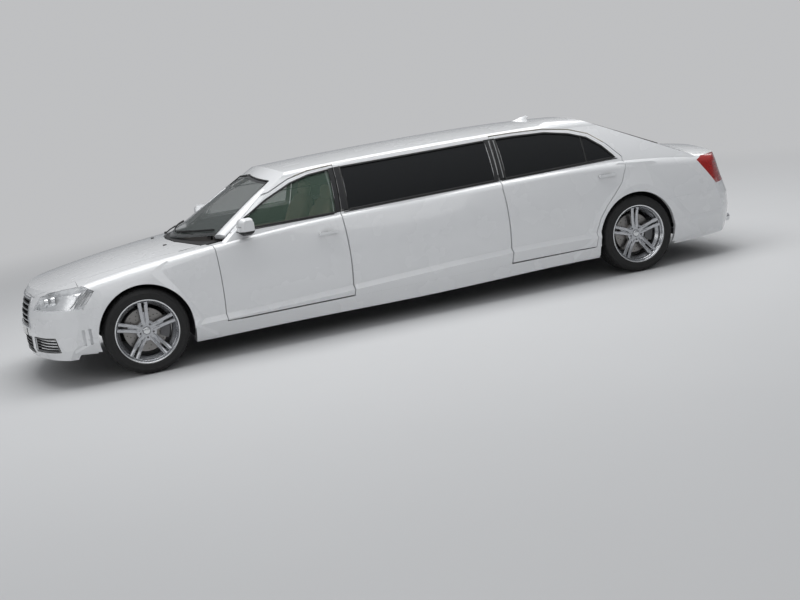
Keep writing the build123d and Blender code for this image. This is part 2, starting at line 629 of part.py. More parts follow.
def add_rear(nodes, forms):
    """Boot lid, quarters, rear deck, bumper and tail lamps."""
    tail_x = X_REAR + 1250
    hole = plan_prism(BOOT_LID, BOOT_LIP_Z - SEAM, 1200, SEAM)
    nodes["boot_lid"] = largest(forms.rear_skin & plan_prism(BOOT_LID, BOOT_LIP_Z, 1200))
    lamp, lamp_hole = lamp_and_hole(
        forms.lamp_walls[1] - hole, TAIL_LAMP_BACK, TAIL_LAMP_SIDE, "rear", X_REAR + 600, tail_x)
    nodes["tail_lamps"] = Compound([lamp, mirror_y(lamp)])

    quarter = forms.rear_skin & block(X_REAR - 480, tail_x, -1000, -DECK_HALF - SEAT_GAP, 0, 1200)
    quarter = quarter - [
        *arches(X_REAR), hole, side_prism(REAR_DOOR, -1, SHUT_GAP / 2), lamp_hole,
        block(X_REAR - 600, X_REAR - 300, -1000, 0, 0, SILL_TOP + SEAT_GAP),
        block(X_REAR + 200, X_REAR + 1300, -1000, 0, 0, BUMPER_TOP + SEAT_GAP)]
    both_sides(nodes, "quarter", largest(quarter))
    deck = forms.rear_skin & block(X_REAR - 100, X_REAR + 800, -DECK_HALF, DECK_HALF, 900, 1200)
    nodes["rear_deck"] = largest(deck - plan_prism(BOOT_LID, BOOT_LIP_Z, 1200, LID_GAP))

    low = block(X_REAR + 200, tail_x, -1000, 1000, 0, BUMPER_TOP)
    lip = block(X_REAR + 900, tail_x, -DECK_HALF, DECK_HALF, BUMPER_TOP - 1, BOOT_LIP_Z - SEAM)
    pipe_slots = [
        side_block(side, X_REAR + 900, tail_x, SILENCER_Y - 95, SILENCER_Y + 95, 0, 352) for side in (-1, 1)]
    cutters = [*arches(X_REAR, (-1, 1)), lamp_hole, mirror_y(lamp_hole), *pipe_slots]
    nodes["rear_bumper"] = largest((forms.rear_skin & (low + lip)) - cutters)


def wheelhouse(x, side, forms):
    """Shell over one wheel, open below and towards the suspension."""
    wall_y = WHEELHOUSE_INNER_Y[x]
    outer = cross_cylinder(
        x, TYRE_RADIUS, WHEELHOUSE_RADIUS + WHEELHOUSE_WALL, side * (wall_y - WHEELHOUSE_WALL),
        side * WHEELHOUSE_END_Y)
    inner = cross_cylinder(x, TYRE_RADIUS, WHEELHOUSE_RADIUS, side * wall_y, side * WHEELHOUSE_END_Y)
    low = block(x - 700, x + 700, -1000, 1000, 0, TYRE_RADIUS + 14)
    arm_room = block(x - 300, x + 300, -wall_y - 1, wall_y + 1, 0, TOWER_TOP - 2)
    return ((outer - inner) & forms.inside) - [low, arm_room]


def add_underbody(nodes, forms):
    """Floor pan, front bay and boot floor, each with its rails and walls."""
    front_wall = X_FRONT + 392
    rear_wall = X_REAR - 392
    floor_low = FLOOR_TOP - FLOOR_THICK
    pan = block(
        front_wall + 45 + SEAT_GAP, rear_wall - 40 - SEAT_GAP, -FLOOR_HALF, FLOOR_HALF, floor_low, FLOOR_TOP)
    for x in (X_FRONT + JACK_PAD_DX, X_REAR - JACK_PAD_DX):
        for side in (-1, 1):
            pan = pan + side_block(side, x - 50, x + 50, FLOOR_HALF - 90, FLOOR_HALF, JACK_PAD_Z, floor_low)
    nodes["floor_pan"] = pan

    bay = block(front_wall, front_wall + 45, -FLOOR_HALF, FLOOR_HALF, floor_low, 860)
    bay = bay + block(X_FRONT - 660, X_FRONT - 600, -560, 560, 330, 430)
    for side in (-1, 1):
        bay = bay + side_block(
            side, X_FRONT - 640, front_wall + 1, 315, CROSSMEMBER_HALF - SEAT_GAP, 330, 430)
        bay = bay + wheelhouse(X_FRONT, side, forms)
    room_y = WHEELHOUSE_INNER_Y[X_FRONT]
    nodes["front_bay"] = bay - [
        cross_cylinder(X_FRONT, TYRE_RADIUS, WHEELHOUSE_RADIUS, side * room_y, side * 1000)
        for side in (-1, 1)]

    boot = block(rear_wall - 40, rear_wall, -FLOOR_HALF, FLOOR_HALF, floor_low, BOOT_FLOOR_Z)
    for x0, x1, half in (
            (rear_wall - 1, X_REAR + 1040, 386), (rear_wall - 1, X_REAR - 100, 548),
            (X_REAR + 100, X_REAR + 1040, 548), (X_REAR + 480, X_REAR + 1060, 640)):
        boot = boot + block(x0, x1, -half, half, BOOT_FLOOR_Z - 20, BOOT_FLOOR_Z)
    boot = boot + block(X_REAR + 1040, X_REAR + 1090, -560, 560, 368, BOOT_FLOOR_Z)
    for side in (-1, 1):
        boot = boot + side_block(side, rear_wall - 1, X_REAR + 1041, 300, 370, 368, BOOT_FLOOR_Z - 19)
        for x0, x1, y0, y1, z0 in (
                (-100, 100, 386, 548, TOWER_TOP), (-100, -86, 386, 548, BOOT_FLOOR_Z - 20),
                (86, 100, 386, 548, BOOT_FLOOR_Z - 20), (-100, 100, 376, 387, BOOT_FLOOR_Z - 20)):
            boot = boot + side_block(side, X_REAR + x0, X_REAR + x1, y0, y1, z0, TOWER_TOP + 16)
        boot = boot + wheelhouse(X_REAR, side, forms)
    nodes["boot_floor"] = boot


def ring_about_y(points):
    """Revolve a closed (radius, y) outline about the Y axis."""
    return revolve(make_face(Polyline(*points, close=True)), axis=Axis.Y)


def place_wheel(shape, x, side):
    """Put a left-hand wheel piece at an axle, mirrored for the right-hand side."""
    placed = Pos(x, -HALF_TRACK, TYRE_RADIUS) * shape
    return placed if side < 0 else mirror_y(placed)


def spoke_outline(way):
    """One spoke of a pair, in its wheel's plane, from the hub to the rim."""
    root, tip = radians(SPOKE_ROOT_ANGLE * way), radians(SPOKE_TIP_ANGLE * way)
    near = Vector(60 * cos(root), 60 * sin(root))
    far = Vector(236 * cos(tip), 236 * sin(tip))
    across = (far - near).normalized().rotate(Axis.Z, 90)
    return make_face(Polyline(
        near + across * SPOKE_ROOT_HALF, far + across * SPOKE_TIP_HALF,
        far - across * SPOKE_TIP_HALF, near - across * SPOKE_ROOT_HALF, close=True))


def build_wheel():
    """Left-hand wheel with its brake disc and hub pin, about the Y axis."""
    half = RIM_WIDTH / 2
    seat = RIM_SEAT_RADIUS
    well = seat - 20
    barrel = ring_about_y([
        (RIM_RADIUS, -half), (RIM_RADIUS, -half + 8), (seat, -half + 14), (seat, -60), (well, -44),
        (well, 20), (seat, 44), (seat, half - 14), (RIM_RADIUS, half - 8), (RIM_RADIUS, half),
        (RIM_RADIUS - 8, half), (seat - BARREL_WALL, half - 16), (seat - BARREL_WALL, 50),
        (well - BARREL_WALL, 24), (well - BARREL_WALL, -40), (seat - BARREL_WALL, -64),
        (seat - BARREL_WALL, -half + 20), (RIM_RADIUS - 8, -half)])
    dish = ring_about_y([
        (40, HUB_FACE - 32), (110, HUB_FACE - 28), (190, HUB_FACE - 42), (237, HUB_FACE - 62),
        (237, HUB_FACE - 20), (190, HUB_FACE - 6), (110, HUB_FACE + 2), (40, HUB_FACE + 2)])
    wheel = barrel + ring_about_y([
        (0, HUB_FACE - 28), (30, HUB_FACE - 28), (36, HUB_FACE - 22), (74, HUB_FACE - 24),
        (82, HUB_FACE - 12), (82, HUB_FACE), (0, HUB_FACE)])
    for way in (-1, 1):
        bar = Plane.XZ * extrude(spoke_outline(way), 160, both=True)
        spoke = bar & dish
        for index in range(SPOKE_PAIRS):
            wheel = wheel + Rot(0, 90 + index * 360 / SPOKE_PAIRS, 0) * spoke
    wheel = wheel + ring_about_y([
        (0, HUB_FACE), (BELL_RADIUS, HUB_FACE), (BELL_RADIUS, DISC_MID - DISC_THICK / 2),
        (DISC_RADIUS, DISC_MID - DISC_THICK / 2), (DISC_RADIUS, DISC_MID + DISC_THICK / 2),
        (HUB_PIN_RADIUS, DISC_MID + DISC_THICK / 2), (HUB_PIN_RADIUS, HUB_PIN_END), (0, HUB_PIN_END)])
    return largest(wheel)


def build_tyre():
    """Left-hand tyre about the Y axis."""
    half = TYRE_WIDTH / 2
    inner = RIM_SEAT_RADIUS + SEAT_GAP
    flange = RIM_WIDTH / 2
    lip = RIM_RADIUS + SEAT_GAP + 0.3
    tread = TYRE_RADIUS
    outer = [(inner, 14.6 - flange), (lip, 8.6 - flange), (lip + 4, -flange), (302, -half), (332, 3 - half)]
    shoulder = [(342, 12 - half), (tread, 26 - half)]
    profile = outer + shoulder
    lining = [(318, 90), (inner, 76)]
    outline = profile + [(r, -y) for r, y in reversed(profile)] + [(r, y) for r, y in reversed(lining)]
    outline = outline + [(r, -y) for r, y in lining]
    return ring_about_y(outline)


def build_upright(steered):
    """Left-hand upright with its bearing housing and caliper, about the Y axis."""
    upright = ring_about_y([
        (0, BEARING_FACE), (BEARING_RADIUS, BEARING_FACE), (BEARING_RADIUS, BEARING_BACK), (0, BEARING_BACK)])
    low, high = ARM_LOW_Z - TYRE_RADIUS, ARM_HIGH_Z - TYRE_RADIUS
    post_low = low + ARM_HALF_THICK + STEER_PLAY
    post_high = high - ARM_HALF_THICK - STEER_PLAY
    upright = upright + block(-26, 26, KINGPIN_DEEP - 24, KINGPIN_DEEP + 22, post_low, post_high)
    upright = upright + block(30, 150, RUNNING_GAP + DISC_MID + DISC_THICK / 2, CALIPER_IN, -34, 34)
    upright = upright + block(0, 60, 40, CALIPER_IN, -34, 34)
    caliper = ring_about_y([
        (CALIPER_ROOT, CALIPER_OUT), (CALIPER_REACH - 12, CALIPER_OUT), (CALIPER_REACH, CALIPER_OUT + 14),
        (CALIPER_REACH, CALIPER_IN), (CALIPER_ROOT, CALIPER_IN)])
    room_radius = DISC_RADIUS + RUNNING_GAP
    room_out = DISC_MID - DISC_THICK / 2 - RUNNING_GAP
    room_in = DISC_MID + DISC_THICK / 2 + RUNNING_GAP
    slot = ring_about_y([
        (0, room_out), (room_radius, room_out), (room_radius, room_in), (0, room_in)])
    outline = make_face(Polyline((0, 0), (260, -150), (260, 150), close=True))
    wedge = extrude(Plane.XZ * outline, 200, both=True)
    upright = upright + ((caliper & wedge) - slot)
    upright = upright - cross_cylinder(0, 0, HUB_PIN_RADIUS + BEARING_GAP, DISC_MID, HUB_PIN_END + 4)
    if steered:
        for z0, z1 in ((low - ARM_HALF_THICK - 6, post_low), (post_high, high + ARM_HALF_THICK + 6)):
            upright = upright + Pos(0, KINGPIN_DEEP, (z0 + z1) / 2) * Cylinder(KINGPIN_RADIUS, z1 - z0)
        upright = upright + block(20, 140, KINGPIN_DEEP - 14, KINGPIN_DEEP + 14, -76, -50)
    return largest(upright)


def build_arms(steered):
    """Left-hand pair of suspension arms, about the Y axis, reaching in to the crossmember."""
    reach = HALF_TRACK - CROSSMEMBER_HALF
    arms = []
    for level in (ARM_LOW_Z, ARM_HIGH_Z):
        z = level - TYRE_RADIUS
        arm = block(-30, 30, KINGPIN_DEEP, reach, z - ARM_HALF_THICK, z + ARM_HALF_THICK)
        arm = arm + Pos(0, KINGPIN_DEEP, z) * Cylinder(36, 2 * ARM_HALF_THICK)
        if steered:
            arm = arm - Pos(0, KINGPIN_DEEP, z) * Cylinder(KINGPIN_RADIUS + BEARING_GAP, 4 * ARM_HALF_THICK)
        arms.append(arm)
    tower = block(-60, 60, reach - 34, reach, ARM_LOW_Z - TYRE_RADIUS - 20, ARM_HIGH_Z - TYRE_RADIUS + 20)
    return arms[0] + arms[1] + tower


def add_running_gear(nodes):
    """Wheels, tyres, uprights, axles, engine and exhaust."""
    wheel, tyre = build_wheel(), build_tyre()
    for x, end in ((X_FRONT, "front"), (X_REAR, "rear")):
        for side, hand in ((-1, "left"), (1, "right")):
            nodes[f"wheel_{end}_{hand}"] = place_wheel(wheel, x, side)
            nodes[f"tyre_{end}_{hand}"] = place_wheel(tyre, x, side)
    knuckle = place_wheel(build_upright(True), X_FRONT, -1)
    both_sides(nodes, "knuckle", knuckle)

    for x, steered, name in ((X_FRONT, True, "front_axle"), (X_REAR, False, "rear_axle")):
        side = build_arms(steered)
        if not steered:
            side = side + build_upright(False)
        side = place_wheel(side, x, -1)
        half = CROSSMEMBER_HALF + 2
        beam = block(x - 90, x + 90, -half, half, CROSSMEMBER_LOW, CROSSMEMBER_HIGH)
        axle = beam + side + mirror_y(side)
        if steered:
            axle = axle + block(x + 90, x + 150, -300, 300, 270, 310)
            axle = axle + cross_cylinder(x + 126, 290, 13, -590, 590)
        else:
            axle = axle + block(x - 130, x + 130, -130, 130, CROSSMEMBER_HIGH - 10, 410)
            reach = HALF_TRACK - BEARING_BACK - 1
            axle = axle + cross_cylinder(x, TYRE_RADIUS, 17, -reach, reach)
        nodes[name] = largest(axle)
    nodes["engine"] = block(
        X_FRONT + ENGINE_FRONT_DX, X_FRONT + ENGINE_BACK_DX, -ENGINE_HALF_WIDTH, ENGINE_HALF_WIDTH,
        CROSSMEMBER_HIGH + SEAT_GAP, ENGINE_TOP)
    nodes["exhaust"] = build_exhaust()


def build_exhaust():
    """Twin pipes under the floor, two silencers and four tailpipes, joined by a cross pipe."""
    low = FLOOR_TOP - FLOOR_THICK - SEAT_GAP - PIPE_RADIUS
    silencer_x = X_REAR + 620
    system = cross_cylinder(silencer_x, SILENCER_Z, PIPE_RADIUS, -SILENCER_Y, SILENCER_Y)
    for side in (-1, 1):
        route = FilletPolyline(
            (X_FRONT + 480, side * 150, low), (X_REAR - 700, side * 150, low),
            (X_REAR - 440, side * 190, low - 26),
            (X_REAR + 330, side * 250, low - 26), (X_REAR + 480, side * SILENCER_Y, SILENCER_Z),
            (silencer_x, side * SILENCER_Y, SILENCER_Z), radius=[120, 150, 150, 90])
        start = Plane(origin=route @ 0, z_dir=route % 0)
        system = system + sweep(start * Circle(PIPE_RADIUS), path=route)
        silencer = block(
            silencer_x - SILENCER_START, silencer_x + SILENCER_LENGTH,
            side * SILENCER_Y - SILENCER_HALF_WIDTH, side * SILENCER_Y + SILENCER_HALF_WIDTH,
            SILENCER_Z - SILENCER_HALF_HEIGHT, SILENCER_Z + SILENCER_HALF_HEIGHT)
        system = system + silencer
        for offset_y in (-TAILPIPE_SPACING, TAILPIPE_SPACING):
            place = Pos(X_REAR + TAILPIPE_END - TAILPIPE_LENGTH / 2, side * SILENCER_Y + offset_y, SILENCER_Z)
            pipe = place * Rot(0, 90, 0) * Cylinder(TAILPIPE_RADIUS, TAILPIPE_LENGTH)
            system = system + pipe
    return system


def build_front_seats():
    """Two front armchairs, each one closed solid."""
    seats = []
    for side in (-1, 1):
        x = X_FRONT + 1090
        y = side * 385
        base = block(x + 30, x + 480, y - 220, y + 220, FLOOR_TOP + SEAT_GAP, 420)
        cushion = block(x, x + 520, y - 262, y + 262, 410, 560)
        back = Pos(x + 545, y, 800) * Rot(0, 20, 0) * Box(150, 520, 600)
        head = Pos(x + 668, y, 1130) * Rot(0, 14, 0) * Box(100, 260, 170)
        stalk = Pos(x + 655, y, 1050) * Rot(0, 14, 0) * Box(40, 150, 120)
        seats.append(base + cushion + back + stalk + head)
    return Compound(seats)


def build_rear_seats():
    """Bench across the back of the long cabin."""
    x = X_REAR - 433
    bench = block(x - 480, x, -640, 640, FLOOR_TOP + SEAT_GAP, 450)
    bench = bench + block(x - 540, x, -640, 640, 449, 590)
    back = Pos(x + 95, 0, 800) * Rot(0, 22, 0) * Box(160, 1060, 560)
    back = back - block(x + 0.1, x + 400, -700, 700, 0, 440 + SEAT_GAP)
    return bench + back


def build_dashboard():
    """Dashboard across the car, with its steering wheel."""
    x = X_FRONT
    outline = make_face(Polyline(
        (x + 437.3, 560), (x + 437.3, 840), (x + 560, 878), (x + 800, 884), (x + 905, 840), (x + 890, 740),
        (x + 800, 620), (x + 700, 560), close=True))
    plane = Plane(origin=(0, 700, 0), x_dir=(1, 0, 0), z_dir=(0, -1, 0))
    board = Solid.extrude((plane * outline).faces()[0], Vector(0, -1400, 0))
    column = Pos(x + 930, -385, 800) * Rot(0, -64, 0) * Cylinder(36, 260)
    wheel_place = Pos(x + 1000, -385, 838) * Rot(0, -64, 0)
    wheel = Torus(180, 15) + Cylinder(62, 34) + Box(30, 352, 16) + Pos(90, 0, 0) * Box(180, 30, 16)
    return board + column + wheel_place * wheel


def build_mirror():
    """Left-hand door mirror: a foot on the door and a rounded shell."""
    x = X_FRONT + 905
    sections = []
    for y, width, height, shift in MIRROR_SECTIONS:
        z = MIRROR_Z if y > MIRROR_FOOT_Y else MIRROR_Z + MIRROR_RISE
        plane = Plane(origin=(x + shift, y, z), x_dir=(1, 0, 0), z_dir=(0, -1, 0))
        sections.append((plane * RectangleRounded(width, height, min(width, height) * 0.35)).faces()[0])
    return Solid.make_loft([face.outer_wire() for face in sections], True)


def add_cabin(nodes, forms):
    """Seats, dashboard and mirrors."""
    nodes["front_seats"] = build_front_seats()
    nodes["rear_seats"] = build_rear_seats()
    nodes["dashboard"] = build_dashboard()
    mirror_left = build_mirror()
    both_sides(nodes, "mirror", mirror_left - forms.lower - forms.house)


def main():
    """Build and write every node."""
    os.makedirs("parts", exist_ok=True)
    forms = Forms()
    nodes = {}
    for step in (add_sides, add_roof, add_front, add_rear, add_underbody):
        step(nodes, forms)
    add_running_gear(nodes)
    add_cabin(nodes, forms)
    for name, shape in nodes.items():
        export_step(shape, f"parts/{name}.step")


main()
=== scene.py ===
"""Looks of the stretched limousine, in metres: +X to the tail, +Y to its right-hand side, +Z up."""

import json
from math import cos, pi, radians, sin

import bmesh
import bpy
from mathutils import Matrix, Vector
from mathutils.bvhtree import BVHTree

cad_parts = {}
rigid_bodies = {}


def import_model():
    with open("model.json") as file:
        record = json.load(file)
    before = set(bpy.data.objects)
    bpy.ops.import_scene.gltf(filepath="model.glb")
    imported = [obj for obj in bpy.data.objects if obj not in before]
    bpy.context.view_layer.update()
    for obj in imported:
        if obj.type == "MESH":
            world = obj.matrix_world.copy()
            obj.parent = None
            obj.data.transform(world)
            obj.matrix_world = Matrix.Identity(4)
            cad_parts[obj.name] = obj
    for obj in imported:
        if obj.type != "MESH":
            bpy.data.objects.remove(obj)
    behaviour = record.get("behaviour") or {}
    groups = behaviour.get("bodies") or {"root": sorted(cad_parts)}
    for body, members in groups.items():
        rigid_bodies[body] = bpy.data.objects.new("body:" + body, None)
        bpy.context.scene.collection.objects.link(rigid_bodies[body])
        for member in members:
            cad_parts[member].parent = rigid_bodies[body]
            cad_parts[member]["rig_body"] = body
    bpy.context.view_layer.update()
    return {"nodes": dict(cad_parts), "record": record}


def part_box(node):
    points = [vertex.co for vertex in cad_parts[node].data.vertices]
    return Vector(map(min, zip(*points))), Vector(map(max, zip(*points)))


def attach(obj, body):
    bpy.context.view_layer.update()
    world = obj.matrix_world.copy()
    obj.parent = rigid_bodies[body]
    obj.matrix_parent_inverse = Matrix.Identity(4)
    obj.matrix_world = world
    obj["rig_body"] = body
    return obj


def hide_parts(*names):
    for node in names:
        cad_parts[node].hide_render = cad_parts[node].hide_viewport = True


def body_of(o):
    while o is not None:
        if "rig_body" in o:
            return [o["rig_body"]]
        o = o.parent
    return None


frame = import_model()
NODES = frame["nodes"]
SCENE = bpy.context.scene

# Viewpoint of the photograph
CAMERA_AT = (-3.505, -11.061, 2.162)
CAMERA_YAW = radians(17.86)
CAMERA_PITCH = radians(-10.5)
CAMERA_ROLL = radians(-8.19)
FOCAL_PX = 1274
IMAGE_WIDTH_PX = 800
SENSOR_MM = 36

# Stage
BACKDROP = (0.52, 0.525, 0.535)
FLOOR = (0.56, 0.565, 0.57)
FADE_FROM, FADE_TO = 5, 11
SKY_STRENGTH = 0.64
LIGHTS = (
    ("overhead", (0, 0.3, 7), (9, 5), 450),
    ("side", (-1, -8.5, 4.2), (9, 3), 70),
    ("front", (-8.5, -3, 3.5), (4, 3), 60),
    ("back", (7, 5, 5), (5, 4), 100),
)

# Colours, linear
WHITE_PAINT = (0.8, 0.81, 0.82)
GLASS_SMOKE = (0.01, 0.011, 0.012)
GLASS_GREEN = (0.1, 0.16, 0.12)
BLACK_PLASTIC = (0.012, 0.012, 0.013)
RUBBER = (0.012, 0.012, 0.012)
CHROME = (0.78, 0.79, 0.8)
ALLOY = (0.5, 0.51, 0.53)
CREAM = (0.56, 0.47, 0.35)
DARK_TRIM = (0.035, 0.03, 0.027)
STEEL = (0.16, 0.16, 0.165)
LAMP_RED = (0.5, 0.012, 0.01)

# Finish of a node where it isn't its record slot's own
FINISHES = {"windscreen": "screen_glass"}
MATERIALS = {}
AHEAD, AFT, DOWN, UP = (-1, 0, 0), (1, 0, 0), (0, 0, -1), (0, 0, 1)
PAD_TURNS, PAD_STEPS, SEAM_DEPTH = 36, 24, 0.006
BODY_OF = {name: body_of(obj)[0] for name, obj in NODES.items()}
SIDES = {"left": -1, "right": 1}


def stand(name, data):
    """New object in the scene."""
    obj = bpy.data.objects.new(name, data)
    SCENE.collection.objects.link(obj)
    return obj


def new_material(name):
    """Empty node material and its shader."""
    made = bpy.data.materials.new(name)
    made.use_nodes = True
    return made, made.node_tree.nodes["Principled BSDF"]


def put(node, **values):
    """Set inputs of a shader node, an underscore standing for a blank, and its other settings."""
    for key, value in values.items():
        word = key.replace("_", " ")
        if word in node.inputs:
            node.inputs[word].default_value = value
        else:
            setattr(node, key, value)
    return node


def add_node(made, kind, **values):
    """Shader node with some of its values."""
    return put(made.node_tree.nodes.new(f"ShaderNode{kind}"), **values)


def link(made, *joins):
    """Join outputs to inputs, each (node, output, node, input)."""
    for source, out, target, into in joins:
        made.node_tree.links.new(source.outputs[out], target.inputs[into])


def varied(made, shader, socket, scale, kind, into, out="Result", **values):
    """Let noise in the object's own coordinates drive a socket by way of a node."""
    place = add_node(made, "TexCoord")
    noise = add_node(made, "TexNoise", Scale=scale, Detail=3)
    node = add_node(made, kind, **values)
    link(made, (place, "Object", noise, "Vector"), (noise, "Fac", node, into), (node, out, shader, socket))


def tinted(made, shader, color, spread, scale):
    """Colour that varies a little over the surface."""
    low, high = ((*[min(1, c * (1 + by)) for c in color], 1) for by in (-spread, spread))
    varied(made, shader, "Base Color", scale, "Mix", "Factor", data_type="RGBA", A=low, B=high)


def worn(made, shader, low, high, scale):
    """Roughness that varies over the surface."""
    varied(made, shader, "Roughness", scale, "MapRange", "Value", To_Min=low, To_Max=high)


def surface(name, color, rough, grain=None, metal=0, spread=0.04, scale=4, coat=(0, 0.03), **sockets):
    """Material of varying colour and roughness, with grain (scale, distance) and coat (weight, roughness)."""
    made, shader = new_material(name)
    tinted(made, shader, color, spread, scale)
    worn(made, shader, rough[0], rough[1], scale * 2.3)
    put(shader, Metallic=metal, Coat_Weight=coat[0], Coat_Roughness=coat[1], **sockets)
    if grain:
        varied(made, shader, "Normal", grain[0], "Bump", "Height", "Normal", Strength=0.5, Distance=grain[1])
    MATERIALS[name] = made


def glass(name, color, alpha, bend=1.6):
    """Thin tinted pane."""
    surface(name, color, (0.015, 0.03), spread=0.08, scale=2, IOR=bend, Alpha=alpha)


def make_materials():
    """Every finish, each with its own colour variation, wear and grain."""
    surface("paint", WHITE_PAINT, (0.24, 0.3), spread=0.01, scale=1.5, coat=(1, 0.03))
    glass("clear_glass", GLASS_GREEN, 0.3)
    glass("smoked_glass", GLASS_SMOKE, 0.93, 1.38)
    glass("screen_glass", (0.13, 0.15, 0.145), 0.36)
    glass("lamp_clear", (0.6, 0.62, 0.64), 0.22)
    glass("lens", (0.8, 0.82, 0.84), 0.16)
    surface("lamp_red", LAMP_RED, (0.05, 0.08), coat=(1, 0.02), Alpha=0.72)
    surface("red_core", (0.22, 0.006, 0.006), (0.25, 0.35), (200, 0.0006))
    surface("dark_glass", (0.1, 0.11, 0.12), (0.03, 0.05), coat=(1, 0.01))
    surface("mirror_face", (0.66, 0.68, 0.7), (0.015, 0.03), metal=1, spread=0.01)
    surface("grille", (0.02, 0.02, 0.022), (0.25, 0.35), (300, 0.0002))
    surface("chrome", CHROME, (0.05, 0.1), metal=1, spread=0.01)
    surface("satin", (0.34, 0.345, 0.35), (0.3, 0.4), (500, 0.00006), metal=0.3, spread=0.03)
    surface("silver", (0.82, 0.83, 0.84), (0.22, 0.3), metal=0.55, spread=0.02)
    surface("plate", (0.78, 0.78, 0.76), (0.3, 0.36), (300, 0.00008), spread=0.015)
    surface("trim", BLACK_PLASTIC, (0.45, 0.6), (700, 0.0002))
    surface("black_gloss", (0.008, 0.0085, 0.009), (0.04, 0.07), spread=0.05, coat=(0.6, 0.02))
    surface("seal", (0.01, 0.01, 0.01), (0.5, 0.62), (600, 0.0002))
    surface("underbody", (0.045, 0.045, 0.048), (0.6, 0.8), (120, 0.0008))
    surface("steel", STEEL, (0.35, 0.6), (160, 0.0004), metal=0.9, spread=0.2, scale=9)
    surface("disc", (0.3, 0.29, 0.28), (0.28, 0.42), (500, 0.0001), metal=1, spread=0.12, scale=20)
    surface("alloy", ALLOY, (0.22, 0.3), (600, 0.00005), metal=0.9, spread=0.03, scale=6, coat=(0.6, 0.08))
    surface("machined", (0.74, 0.75, 0.76), (0.16, 0.24), (900, 0.00003), metal=1, spread=0.02, scale=8)
    surface("tyre", RUBBER, (0.65, 0.8), (240, 0.0004), spread=0.25, scale=14)
    surface("leather", CREAM, (0.45, 0.6), (260, 0.0006), spread=0.06, scale=7)
    surface("dash", DARK_TRIM, (0.55, 0.7), (420, 0.0003))
    surface("carpet", (0.05, 0.046, 0.043), (0.85, 0.95), (900, 0.0015), spread=0.15, scale=12)
    surface("headlining", (0.48, 0.44, 0.37), (0.75, 0.85), (800, 0.0006), spread=0.04, scale=10)
    surface("wood", (0.13, 0.052, 0.022), (0.14, 0.22), spread=0.35, scale=18, coat=(1, 0.04))


def dress_nodes():
    """Give each CAD node its material."""
    slots = {row["node"]: row["material_slot"] for row in frame["record"]["subparts"]}
    for name, obj in NODES.items():
        for place in obj.material_slots:
            place.material = MATERIALS[FINISHES.get(name, slots[name])]


def middle(name):
    """Middle of a CAD node's box."""
    low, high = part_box(name)
    return (Vector(low) + Vector(high)) / 2


X_FRONT = middle("tyre_front_left").x
X_REAR = middle("tyre_rear_left").x
WHEEL_Z = middle("tyre_rear_left").z
HALF_TRACK = abs(middle("tyre_rear_left").y)


def skin(*names):
    """Search tree over the faces of CAD nodes."""
    places, faces = [], []
    for name in names:
        mesh = NODES[name].data
        start = len(places)
        places += [v.co.copy() for v in mesh.vertices]
        faces += [[start + i for i in p.vertices] for p in mesh.polygons]
    return BVHTree.FromPolygons(places, faces)


def touch(tree, start, toward):
    """Point and outward normal where a ray first meets a skin, or None."""
    place, normal, _, _ = tree.ray_cast(Vector(start), Vector(toward))
    if place is None:
        return None
    return place, -normal if normal.dot(Vector(toward)) > 0 else normal


def spaced(points, step, closed=False):
    """Points along a polyline at an even spacing."""
    ends = list(points) + ([points[0]] if closed else [])
    found = []
    for a, b in zip(ends, ends[1:]):
        count = max(1, int((Vector(b) - Vector(a)).length / step))
        found += [Vector(a).lerp(Vector(b), i / count) for i in range(count)]
    return found if closed else found + [Vector(ends[-1])]


def grown(points, by):
    """Closed outline in a plane, moved outwards."""
    area = sum(a[0] * b[1] - b[0] * a[1] for a, b in zip(points, points[1:] + points[:1]))
    turn = 1 if area > 0 else -1
    found = []
    for last, here, after in zip(points[-1:] + points[:-1], points, points[1:] + points[:1]):
        one = Vector((here[1] - last[1], last[0] - here[0])).normalized() * turn
        two = Vector((after[1] - here[1], here[0] - after[0])).normalized() * turn
        out = (one + two) / max(0.5, 1 + one.dot(two))
        found.append((here[0] + out.x * by, here[1] + out.y * by))
    return found


